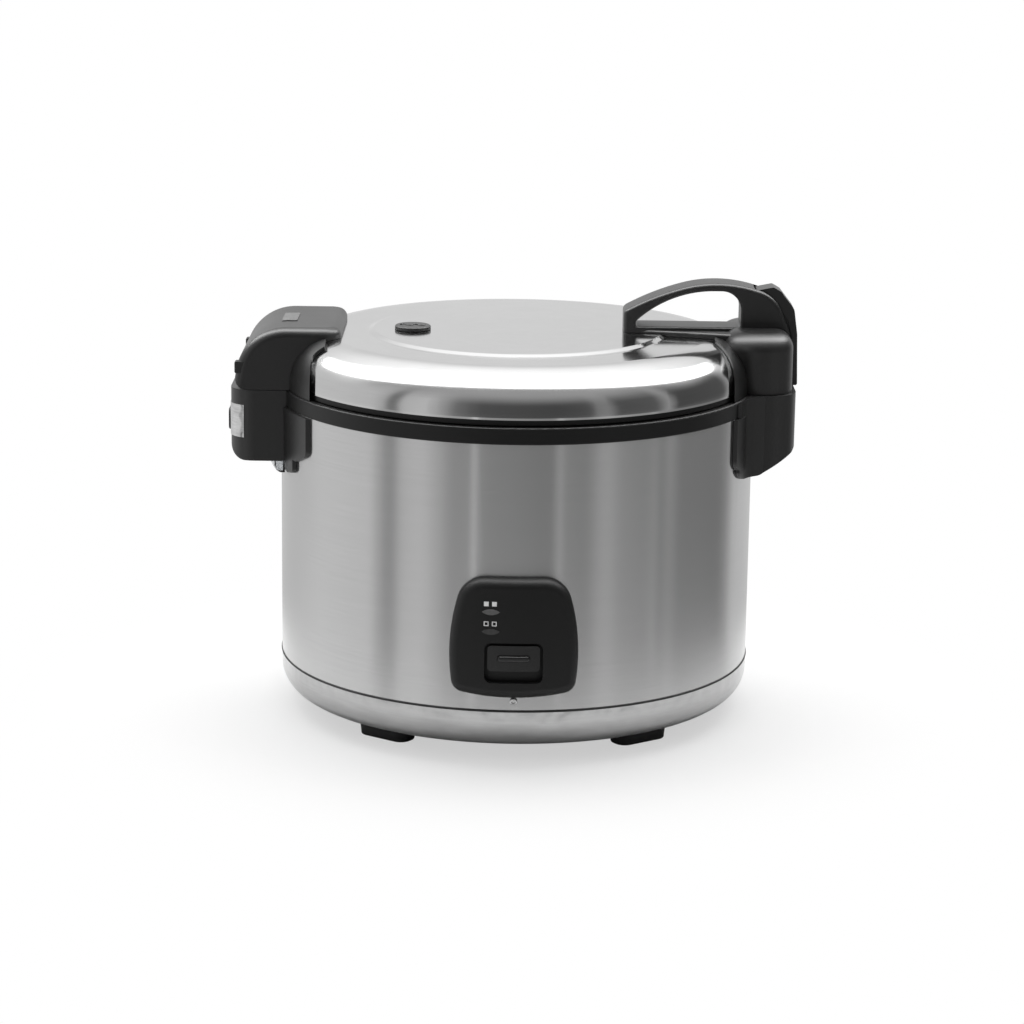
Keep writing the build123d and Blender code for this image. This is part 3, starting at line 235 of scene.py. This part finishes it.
# %% Moulded black plastic and rubber
def moulded(name, tone, rough, scale, depth, gloss=0.5):
    """A moulding with a grain of the given scale, per metre, and depth, in metres."""
    material, start, place = new_finish(name)
    grain = place.vector.noise(scale, 3.0, 0.55)
    handled = place.vector.noise(22.0, 2.0)
    sockets = {
        "Base Color": (grain * 0.7 + handled * 0.3).tone(tone * 0.75, tone * 1.3),
        "Roughness": rough + (grain - 0.5) * 0.10 + (handled - 0.5) * 0.10,
        "Specular IOR Level": gloss,
    }
    close_finish(start, sockets, grain, depth, 0.4)
    return material


BLACK_SATIN = moulded("black_satin_plastic", tone=0.006, rough=0.38, scale=1000.0, depth=3e-5, gloss=0.75)
PANEL_BLACK = moulded("panel_black_plastic", tone=0.004, rough=0.48, scale=800.0, depth=1.2e-4, gloss=0.40)
BARE_PLATE = moulded("bare_grey_plate", tone=0.13, rough=0.45, scale=1800.0, depth=1e-5)
SWITCH_BLACK = moulded("switch_black_plastic", tone=0.004, rough=0.30, scale=1600.0, depth=1e-5, gloss=0.70)
LEVER_BLACK = moulded("lever_black_plastic", tone=0.006, rough=0.34, scale=1500.0, depth=1e-5, gloss=0.70)
COLLAR_BLACK = moulded("collar_black_plastic", tone=0.005, rough=0.42, scale=1500.0, depth=1.2e-5, gloss=0.35)
RUBBER = moulded("black_rubber", tone=0.012, rough=0.62, scale=900.0, depth=6e-5)
SEAL = moulded("seal_rubber", tone=0.42, rough=0.60, scale=700.0, depth=4e-5)
CERAMIC = moulded("white_moulding", tone=0.72, rough=0.45, scale=900.0, depth=4e-5)
LEAD_SLEEVE = moulded("lead_sleeve", tone=0.66, rough=0.50, scale=1200.0, depth=3e-5)
MARK_INK = moulded("white_ink", tone=0.80, rough=0.55, scale=2500.0, depth=1e-5)
print("moulded finishes ready")

# %% [markdown]
# The pot, the inner lid and the heater's plate are aluminium. Spun aluminium keeps the marks of the
# spinning tool as rings, which are coarser than polishing rings, and it is less bright than steel.

# %% Spun aluminium
TOOL_MARK_DEPTH = 2.5e-5


def spun_aluminium(name, tone, rough, pitch):
    """Aluminium with tool marks whose pitch is in metres."""
    material, start, place = new_finish(name)
    wobble = place.vector.noise(5.0, 2.0) * 0.4
    turns = 2 * math.pi / pitch
    rings = start.math("SINE", place.radius * turns + place.height * turns) * 0.5 + 0.5 + wobble
    cloud = place.vector.noise(30.0, 3.0)
    sockets = {
        "Base Color": cloud.tone(tone - 0.05, tone + 0.05),
        "Metallic": 1.0,
        "Roughness": rough + cloud * 0.12,
    }
    close_finish(start, sockets, rings, TOOL_MARK_DEPTH, 0.5)
    return material


POT_ALUMINIUM = spun_aluminium("pot_spun_aluminium", tone=0.66, rough=0.24, pitch=0.0016)
PLATE_ALUMINIUM = spun_aluminium("plate_turned_aluminium", tone=0.58, rough=0.32, pitch=0.0011)
HEATER_SHEATH = spun_aluminium("heater_sheath", tone=0.24, rough=0.42, pitch=0.0009)
BRASS_PINS = spun_aluminium("pin_brass", tone=0.5, rough=0.28, pitch=0.0008)
print("aluminium finishes ready")

# %% [markdown]
# The dew cup and the lamp lenses are clear mouldings. The cup lets light through and bends it. The
# lenses are milky, and unlit they look grey, with fine ribs across them that hide the lamp. The pad
# inside the lid is felt, whose fibres are a noise drawn out around the axis.

# %% Clear and milky plastic, glass and felt
CLEAR_INDEX = 1.49
LENS_RIB_PITCH = 0.0009


def clear_plastic(name, rough):
    material, start, place = new_finish(name)
    flow = place.vector.noise(60.0, 2.0)
    sockets = {
        "Base Color": flow.tone((0.86, 0.88, 0.90), (0.93, 0.94, 0.95)),
        "Roughness": rough + flow * 0.05,
        "Transmission Weight": 1.0,
        "IOR": CLEAR_INDEX,
    }
    close_finish(start, sockets, flow, 0.00005, 0.2)
    return material


def milky_lens(name, tone):
    material, start, place = new_finish(name)
    across = start.node("ShaderNodeSeparateXYZ", {}, {0: place.vector})
    ribs = start.math("SINE", across * (2 * math.pi / LENS_RIB_PITCH)) * 0.5 + 0.5
    sockets = {
        "Base Color": ribs.tone(tone * 0.8, tone * 1.15),
        "Roughness": 0.24 + ribs * 0.10,
    }
    close_finish(start, sockets, ribs, 0.00006, 0.6)
    return material


def felted(name, tone):
    material, start, place = new_finish(name)
    spread = place.stretched(place.angle * 60.0, place.radius * 700.0, place.height * 500.0)
    fibres = spread.noise(1.0, 4.0, 0.7)
    sockets = {"Base Color": fibres.tone(tone * 0.7, tone), "Roughness": 0.85 + fibres * 0.1}
    close_finish(start, sockets, fibres, 0.0006, 0.6)
    return material


CLEAR_CUP = clear_plastic("cup_clear_plastic", rough=0.06)
LAMP_GLASS = clear_plastic("lamp_glass", rough=0.02)
LENS_GREY = milky_lens("lens_milky_grey", tone=0.11)
LENS_DARK = milky_lens("lens_smoky_grey", tone=0.045)
FELT = felted("insulating_felt", tone=0.62)
print("clear finishes ready")

# %% [markdown]
# Each solid now takes its finish. A table of finish to pieces keeps this in one place, and the loop
# stops if a piece was forgotten.

# %% Give every solid its finish
FINISHES = {
    WALL_STEEL: ["body_shell"],
    LID_STEEL: ["lid_shell"],
    RING_STEEL: ["base_ring"],
    BAND_STEEL: ["hinge_band"],
    SHEET_STEEL: ["bottom_plate", "inner_liner", "sensor_bracket", "lever_bracket", "latch_keeper",
                  "warm_band", "plate_posts"],
    SCREW_STEEL: ["foot_screws", "panel_screw", "lid_screws", "housing_screws", "hinge_pin", "lever_pin",
                  "latch_pin", "lid_stud", "magnet_plunger", "sensor_ferrite"],
    WIRE_STEEL: ["sensor_spring", "latch_spring"],
    BARE_PLATE: ["cover_plate"],
    BLACK_SATIN: ["hinge_cover", "hinge_housing", "latch_housing", "lid_handle", "vent_cap", "vent_tube",
                  "power_inlet", "micro_switch"],
    COLLAR_BLACK: ["collar_ring", "lid_trim_ring"],
    PANEL_BLACK: ["control_panel"],
    SWITCH_BLACK: ["switch_lever"],
    LEVER_BLACK: ["latch_lever"],
    RUBBER: ["foot_front_left", "foot_front_right", "foot_rear_left", "foot_rear_right", "cover_bumpers",
             "end_pad", "inner_lid_grommet"],
    SEAL: ["lid_gasket"],
    POT_ALUMINIUM: ["inner_pot", "inner_lid", "sensor_cap"],
    PLATE_ALUMINIUM: ["heating_plate"],
    HEATER_SHEATH: ["heater_tube"],
    FELT: ["lid_insulation"],
    CERAMIC: ["lamp_holder", "thermal_fuse", "terminal_block"],
    LEAD_SLEEVE: ["wiring"],
    BRASS_PINS: ["inlet_pins"],
    LENS_GREY: ["lens_cook"],
    LENS_DARK: ["lens_warm"],
    LAMP_GLASS: ["neon_lamps"],
    CLEAR_CUP: ["dew_cup"],
}
for material, names in FINISHES.items():
    for name in names:
        NODES[name].data.materials.clear()
        NODES[name].data.materials.append(material)
finished = sum(len(names) for names in FINISHES.values())
assert finished == len(NODES), "a solid has no finish"
print("finished solids", finished)

# %% [markdown]
# Some small things are easier here than in the solids: a gasket, printed marks, the socket of a screw.
# Each is a bmesh, which is Blender's mesh for editing. Its operators create a shape and bend it, and a
# helper closes it, turns its faces outwards and hangs it on the part of the cooker that it moves with.

# %% Adding a small piece
MERGE_DISTANCE = 0.01 * MM
SHARP_ANGLE = math.radians(35)


def add_piece(shape, name, material, body):
    """Merges and closes a bmesh, and makes it a piece that rides on a body."""
    bmesh.ops.remove_doubles(shape, verts=shape.verts[:], dist=MERGE_DISTANCE)
    bmesh.ops.recalc_face_normals(shape, faces=shape.faces[:])
    mesh = bpy.data.meshes.new(name)
    shape.to_mesh(mesh)
    shape.free()
    mesh.materials.append(material)
    mesh.shade_smooth()
    mesh.set_sharp_from_angle(angle=SHARP_ANGLE)
    piece = bpy.data.objects.new(name, mesh)
    bpy.context.scene.collection.objects.link(piece)
    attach(piece, body)
    print(name, len(mesh.polygons), "faces, on", body)
    return piece


def spun(shape, points, centre, axis, steps):
    """A solid of revolution: a chain of points turned a full circle."""
    line = [shape.verts.new(Vector(point) * MM) for point in points]
    edges = [shape.edges.new(pair) for pair in zip(line, line[1:])]
    bmesh.ops.spin(shape, geom=line + edges, cent=Vector(centre) * MM, axis=axis, angle=2 * math.pi,
                   steps=steps, use_merge=True)


# %% [markdown]
# Where the wall meets the base ring there is a dark line, which is the shade in the groove of the seam.
# It is painted shade: a thin black ring is laid in the groove. The ring has a round section, so a small
# circle is stood up, moved out to the wall and spun once around.

# %% Painted shade in the seam
SEAM_RADIUS = 184.5
SEAM_HEIGHT = 43.4
SEAM_SECTION = 1.1
SEAM_STEPS = 180


def seam_shade_ring():
    shape = bmesh.new()
    bmesh.ops.create_circle(shape, segments=12, radius=SEAM_SECTION * MM)
    bmesh.ops.rotate(shape, verts=shape.verts[:], matrix=Matrix.Rotation(math.pi / 2, 3, "X"))
    bmesh.ops.translate(shape, verts=shape.verts[:], vec=Vector((SEAM_RADIUS, 0.0, SEAM_HEIGHT)) * MM)
    bmesh.ops.spin(shape, geom=shape.verts[:] + shape.edges[:], axis=(0.0, 0.0, 1.0), angle=2 * math.pi,
                   steps=SEAM_STEPS, use_merge=True)
    # The black rubber finish of this ring is painted shade that darkens the seam's groove.
    return add_piece(shape, "seam_shade_ring", RUBBER, "base")


seam_shade_ring()

# %% [markdown]
# Over each lamp lens two small plain marks are printed in white: filled squares for cooking, hollow ones
# for keeping warm. A mark is one square of a grid. An inset leaves a frame when its middle is taken out,
# and a thin wall gives it body. It is laid on the panel's face by a turn about the drum's axis.

# %% Printed marks
PANEL_FACE_RADIUS = 194.0
MARK_SIZE = 3.5
MARK_FRAME = 0.8
MARK_EDGE = 0.2
MARK_CROWN = 0.04
MARK_THICKNESS = 0.12
MARK_LIFT = 0.10
MARK_PLACES = [(-20.6, 128.1, False), (-14.6, 128.1, False), (-20.6, 113.0, True), (-14.6, 113.0, True)]


def printed_mark(shape, across, height, hollow):
    """One square mark at its place on the panel."""
    old = set(shape.verts)
    bmesh.ops.create_grid(shape, x_segments=1, y_segments=1, size=0.5 * MARK_SIZE * MM)
    faces = [face for face in shape.faces if not old.intersection(face.verts)]
    if hollow:
        bmesh.ops.inset_region(shape, faces=faces, thickness=MARK_FRAME * MM, use_boundary=True)
        bmesh.ops.delete(shape, geom=faces, context="FACES")
    else:
        bmesh.ops.inset_region(shape, faces=faces, thickness=MARK_EDGE * MM, depth=MARK_CROWN * MM,
                               use_boundary=True)
    faces = [face for face in shape.faces if not old.intersection(face.verts)]
    bmesh.ops.solidify(shape, geom=faces, thickness=MARK_THICKNESS * MM)
    fresh = [vert for vert in shape.verts if vert not in old]
    bmesh.ops.rotate(shape, verts=fresh, matrix=Matrix.Rotation(math.pi / 2, 3, "X"))
    bmesh.ops.translate(shape, verts=fresh, vec=Vector((0.0, -PANEL_FACE_RADIUS - MARK_LIFT, height)) * MM)
    turn = math.asin(across / PANEL_FACE_RADIUS)
    bmesh.ops.rotate(shape, verts=fresh, matrix=Matrix.Rotation(turn, 3, "Z"))


shape = bmesh.new()
for across, height, hollow in MARK_PLACES:
    printed_mark(shape, across, height, hollow)
add_piece(shape, "lamp_marks", MARK_INK, "base")

# %% [markdown]
# The little screw under the panel has a round socket in its head, which the solid leaves out. The whole
# screw is drawn again as half a section, from the middle of the socket out over the head and back along
# the shank, and spun about its own axis. It then stands for the solid screw.

# %% Panel screw with its socket
SCREW_ACROSS = 0.3
SCREW_HEIGHT = 51.4
SCREW_STEPS = 32
SCREW_SECTION = [(0.0, -185.5), (1.25, -185.5), (1.45, -186.3), (1.9, -186.58), (2.4, -186.45),
                 (2.75, -186.05), (2.9, -185.4), (2.9, -184.8), (1.6, -184.8), (1.6, -179.0), (0.0, -179.0)]


def socket_screw():
    shape = bmesh.new()
    points = [(SCREW_ACROSS + radius, along, SCREW_HEIGHT) for radius, along in SCREW_SECTION]
    spun(shape, points, (SCREW_ACROSS, 0.0, SCREW_HEIGHT), (0.0, 1.0, 0.0), SCREW_STEPS)
    screw = add_piece(shape, "panel_socket_screw", SCREW_STEEL, "base")
    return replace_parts(screw, "panel_screw")


socket_screw()

# %% [markdown]
# A raised wave runs across the steam cap, to hold it by when it is lifted off. It is a chain of half
# rings that bend left and right in turn. Each starts as a small circle at the end of the last one, which
# is spun half a turn about an upright axis.

# %% Wave on the steam cap
CAP_X, CAP_Y, CAP_TOP = -82.0, -11.0, 303.5
WAVE_BEND = 2.3
WAVE_SECTION = 0.75
WAVE_BENDS = 4


def cap_wave():
    shape = bmesh.new()
    for number in range(WAVE_BENDS):
        old = set(shape.verts)
        bmesh.ops.create_circle(shape, segments=10, radius=WAVE_SECTION * MM)
        fresh = [vert for vert in shape.verts if vert not in old]
        edges = [edge for edge in shape.edges if not old.intersection(edge.verts)]
        middle = Vector((CAP_X + (2 * number - WAVE_BENDS + 1) * WAVE_BEND, CAP_Y, CAP_TOP)) * MM
        bmesh.ops.rotate(shape, verts=fresh, matrix=Matrix.Rotation(math.pi / 2, 3, "X"))
        bmesh.ops.translate(shape, verts=fresh, vec=middle - Vector((WAVE_BEND, 0.0, 0.0)) * MM)
        side = 1 if number % 2 else -1
        bmesh.ops.spin(shape, geom=fresh + edges, cent=middle, axis=(0.0, 0.0, 1.0), angle=side * math.pi,
                       steps=12)
    bmesh.ops.remove_doubles(shape, verts=shape.verts[:], dist=MERGE_DISTANCE)
    bmesh.ops.holes_fill(shape, edges=shape.edges[:], sides=0)
    return add_piece(shape, "cap_wave", BLACK_SATIN, "steam_cap")


cap_wave()

# %% [markdown]
# Inside the pot there are level marks: short bars pressed into the wall one above the other, with a longer
# one at every second place. Each is a small block with rounded edges that is half sunk in the pot's wall.

# %% Level marks in the pot
POT_INNER_RADIUS = 147.8
LEVEL_FIRST = 110.0
LEVEL_STEP = 14.0
LEVELS = 8
LEVEL_LENGTHS = (18.0, 10.0)
LEVEL_DEPTH = 0.9
LEVEL_WIDTH = 1.5
LEVEL_ROUND = 0.35
LEVEL_ANGLES = (50, 130)


def level_bar(shape, angle, height, length):
    """One bar on the pot's inner wall."""
    made = bmesh.ops.create_cube(shape, size=MM)["verts"]
    bmesh.ops.scale(shape, verts=made, vec=(length, LEVEL_DEPTH, LEVEL_WIDTH))
    edges = list({edge for vert in made for edge in vert.link_edges})
    rounded = bmesh.ops.bevel(shape, geom=edges, offset=LEVEL_ROUND * MM, segments=2, profile=0.5,
                              affect="EDGES", material=-1)
    corners = list({vert for face in rounded["faces"] for vert in face.verts})
    bmesh.ops.translate(shape, verts=corners, vec=Vector((0.0, POT_INNER_RADIUS, height)) * MM)
    turn = Matrix.Rotation(math.radians(angle - 90), 3, "Z")
    bmesh.ops.rotate(shape, verts=corners, matrix=turn)


shape = bmesh.new()
for angle in LEVEL_ANGLES:
    for number in range(LEVELS):
        level_bar(shape, angle, LEVEL_FIRST + number * LEVEL_STEP, LEVEL_LENGTHS[number % 2])
add_piece(shape, "pot_levels", POT_ALUMINIUM, "pot")

# %% [markdown]
# The camera stands where the photograph was taken from: a little above the lid and about two and a
# half metres away, with a long lens. Its place, its tilt and its slight roll were fitted to the rings
# of the drum and the lid.

# %% Camera
CAMERA_PLACE = Vector((0.0, -2.4085, 0.7244))
CAMERA_TURN = math.radians(0.068)
CAMERA_DOWN = math.radians(13.3695)
CAMERA_ROLL = math.radians(0.764)
LENS_MM = 109.66
SENSOR_MM = 36.0

camera_data = bpy.data.cameras.new("camera")
camera_data.lens = LENS_MM
camera_data.sensor_width = SENSOR_MM
camera = bpy.data.objects.new("camera", camera_data)
bpy.context.scene.collection.objects.link(camera)
camera.matrix_world = (Matrix.Translation(CAMERA_PLACE) @ Matrix.Rotation(CAMERA_TURN, 4, "Z")
                       @ Matrix.Rotation(math.pi / 2 - CAMERA_DOWN, 4, "X")
                       @ Matrix.Rotation(CAMERA_ROLL, 4, "Z"))
bpy.context.scene.camera = camera
print("camera", tuple(round(value, 3) for value in camera.location))

# %% [markdown]
# The floor is a wide pale disc. Close to the cooker part of what is seen is pale paper that takes the
# shadow; further out it is plain white for the eye, for metal and for glass, so that the background is
# even. Light Path tells which kind of ray asks. Steel that faces the far floor would show only white,
# so for mirror rays the far floor lets the room below it through instead.

# %% Floor
FLOOR_RADIUS = 14.0
SHADOW_RADIUS = 0.20
WHITE_RADIUS = 0.40
SHADOW_SHARE = 0.45
MIRROR_NEAR = 0.28
MIRROR_FAR = 0.42


def pale_floor():
    material, start, place = new_finish("pale_floor")
    speckle = place.vector.noise(400.0, 2.0)
    paper = start.node("ShaderNodeBsdfDiffuse", {}, {"Color": speckle.tone(0.93, 0.96)})
    white = start.node("ShaderNodeEmission", {}, {"Color": colour(1.0), "Strength": 1.0})
    rays = start.node("ShaderNodeLightPath", out="Is Camera Ray").socket.node.outputs
    eye, mirror, glass = [Wire(start.tree, rays[kind])
                          for kind in ("Is Camera Ray", "Is Glossy Ray", "Is Transmission Ray")]
    near = 1 - place.radius.between(SHADOW_RADIUS, WHITE_RADIUS)
    whiteness = eye * (1 - near * SHADOW_SHARE) + start.math("MINIMUM", mirror + glass, 1.0) * (1 - near)
    shown = start.node("ShaderNodeMixShader", {}, {0: whiteness, 1: paper, 2: white})
    clear = start.node("ShaderNodeBsdfTransparent", {}, {"Color": colour(1.0)})
    opened = mirror * place.radius.between(MIRROR_NEAR, MIRROR_FAR)
    both = start.node("ShaderNodeMixShader", {}, {0: opened, 1: shown, 2: clear})
    start.node("ShaderNodeOutputMaterial", {}, {"Surface": both})
    return material


def stage_piece(shape, name, material):
    """A mesh that belongs to the studio and not to the cooker."""
    mesh = bpy.data.meshes.new(name)
    shape.to_mesh(mesh)
    shape.free()
    mesh.materials.append(material)
    holder = bpy.data.objects.new(name, mesh)
    bpy.context.scene.collection.objects.link(holder)
    return holder


shape = bmesh.new()
bmesh.ops.create_circle(shape, cap_ends=True, segments=96, radius=FLOOR_RADIUS)
stage_piece(shape, "floor", pale_floor())
print("floor radius", FLOOR_RADIUS)

# %% [markdown]
# Polished steel shows the room, so the room is part of the look. The world is a plain studio: pale
# behind and on the left, dim in front, darker on the right, with two thin bright gaps in front between
# dark cards. One ramp over the compass direction holds the levels below the horizon, where the drum's
# wall looks, and a second one those above it, where the lid's shoulder looks. In front the ceiling is
# a dim grey, and behind it brightens towards the zenith, which lets the stroke on the lid fade in.

# %% Studio room
LOW_LEVELS = {-180: 0.60, -140: 0.66, -110: 0.80, -75: 0.74, -70: 0.44, -60: 0.42, -57: 0.66, -45: 0.68,
              -32: 0.46, -22: 0.50, -19.6: 1.20, -18.6: 0.46, 0: 0.40, 19.2: 0.33, 20.6: 0.80, 24: 0.44,
              34: 0.38, 44: 0.56, 64: 0.40, 68: 0.40, 71: 0.54, 74: 0.30, 118: 0.26, 126: 0.44, 132: 0.66,
              180: 0.60}
HIGH_LEVELS = {-180: 0.78, -150: 0.80, -75: 0.64, -68: 0.52, -65: 0.20, -61: 0.20, -58: 0.58, -46: 0.66,
               -36: 0.40, -30: 0.20, -18: 0.10, 20: 0.08, 36: 0.10, 40: 0.26, 46: 0.28, 51: 0.10, 72: 0.12,
               79: 0.40, 85: 0.08, 122: 0.10, 134: 0.70, 180: 0.78}
CEILING_LEVEL = 0.42
ZENITH_LEVEL = 1.5
HORIZON_BLEND = (-0.24, -0.08)
CEILING_BLEND = (0.30, 0.80)
ZENITH_BLEND = (0.27, 0.92)
BEHIND_BLEND = (-0.1, 0.3)


def around_compass(levels):
    """Stops of a ramp from levels at degrees from the front, with the right positive."""
    return [(degrees / 360 + 0.5, level) for degrees, level in levels.items()]


def studio_world():
    world = bpy.data.worlds.new("studio")
    bpy.context.scene.world = world
    world.use_nodes = True
    world.node_tree.nodes.clear()
    start = Wire(world.node_tree)
    direction = start.node("ShaderNodeTexCoord", out="Generated")
    outputs = start.node("ShaderNodeSeparateXYZ", {}, {0: direction}).socket.node.outputs
    x, y, z = [Wire(start.tree, socket) for socket in outputs]
    compass = start.math("ARCTAN2", x, 0.0 - y) * (0.5 / math.pi) + 0.5
    low = start.node("ShaderNodeValToRGB", {"stops": around_compass(LOW_LEVELS)}, {0: compass})
    high = start.node("ShaderNodeValToRGB", {"stops": around_compass(HIGH_LEVELS)}, {0: compass})
    blend = {"data_type": "RGBA"}
    walls = start.node("ShaderNodeMix", blend, {0: z.between(*HORIZON_BLEND), 6: low, 7: high}, out=2)
    behind = y.between(*BEHIND_BLEND)
    front = start.node("ShaderNodeMix", blend, {0: z.between(*CEILING_BLEND) * (1 - behind), 6: walls,
                                                7: colour(CEILING_LEVEL)}, out=2)
    room = start.node("ShaderNodeMix", blend, {0: z.between(*ZENITH_BLEND) * behind, 6: front,
                                               7: colour(ZENITH_LEVEL)}, out=2)
    rays = start.node("ShaderNodeLightPath", out="Is Camera Ray").socket.node.outputs
    seen = Wire(start.tree, rays["Is Camera Ray"]) + Wire(start.tree, rays["Is Transmission Ray"])
    shown = start.node("ShaderNodeMix", blend, {0: start.math("MINIMUM", seen, 1.0), 6: room, 7: colour(1.0)},
                       out=2)
    back = start.node("ShaderNodeBackground", {}, {"Color": shown, "Strength": 1.0})
    start.node("ShaderNodeOutputWorld", {}, {"Surface": back})


studio_world()
bpy.context.scene.view_settings.view_transform = "Standard"
print("studio levels", len(LOW_LEVELS), len(HIGH_LEVELS))

# %% [markdown]
# One large soft box hangs above the cooker and gives the light on the floor. Its shining face is a
# second piece: a card bent like a horseshoe round the back of the cooker, which only mirrors see. It
# makes the long white stroke on the lid's shoulder and the sheen on the handle's post, without more
# light on anything. The card is an edge that is spun half a turn.

# %% Soft box and its shining face
BOX_PLACE = (0.0, 0.45, 1.9)
BOX_TARGET = (0.0, 0.0, 0.15)
BOX_WIDTH = 3.0
BOX_DEPTH = 1.8
BOX_WATTS = 30.0
CARD_CENTRE = Vector((0.0, 1.9, 1.75))
CARD_INNER = 1.42
CARD_OUTER = 2.80
CARD_FADE = 0.35
CARD_LEVEL = 8.0


def soft_box():
    """The lamp over the cooker, which neither the eye nor a mirror sees."""
    lamp = bpy.data.lights.new("top_box", "AREA")
    lamp.shape = "RECTANGLE"
    lamp.size = BOX_WIDTH
    lamp.size_y = BOX_DEPTH
    lamp.energy = BOX_WATTS
    holder = bpy.data.objects.new("top_box", lamp)
    bpy.context.scene.collection.objects.link(holder)
    holder.location = BOX_PLACE
    holder.rotation_euler = (Vector(BOX_TARGET) - Vector(BOX_PLACE)).to_track_quat("-Z", "Y").to_euler()
    holder.visible_camera = False
    holder.visible_glossy = False


def card_glow():
    """Light that fades towards both rims of the card."""
    material, start, place = new_finish("card_glow")
    centred = place.vector.node("ShaderNodeVectorMath", {"operation": "DISTANCE"},
                                {0: place.vector, 1: CARD_CENTRE}, out="Value")
    edge = CARD_FADE * (CARD_OUTER - CARD_INNER)
    past_inner = centred.between(CARD_INNER, CARD_INNER + edge)
    past_outer = centred.between(CARD_OUTER - edge, CARD_OUTER)
    glow = start.node("ShaderNodeEmission", {}, {"Color": colour(1.0), "Strength": CARD_LEVEL})
    clear = start.node("ShaderNodeBsdfTransparent", {}, {"Color": colour(1.0)})
    mixed = start.node("ShaderNodeMixShader", {}, {0: past_inner * (1 - past_outer), 1: clear, 2: glow})
    start.node("ShaderNodeOutputMaterial", {}, {"Surface": mixed})
    return material


soft_box()
shape = bmesh.new()
inner = shape.verts.new(CARD_CENTRE + Vector((CARD_INNER, 0.0, 0.0)))
outer = shape.verts.new(CARD_CENTRE + Vector((CARD_OUTER, 0.0, 0.0)))
rim = shape.edges.new((inner, outer))
bmesh.ops.spin(shape, geom=[inner, outer, rim], cent=CARD_CENTRE, axis=(0.0, 0.0, 1.0), angle=-math.pi,
               steps=24)
card = stage_piece(shape, "shining_card", card_glow())
card.visible_camera = False
card.visible_diffuse = False
card.visible_shadow = False
card.visible_transmission = False
print("card faces", len(card.data.polygons))
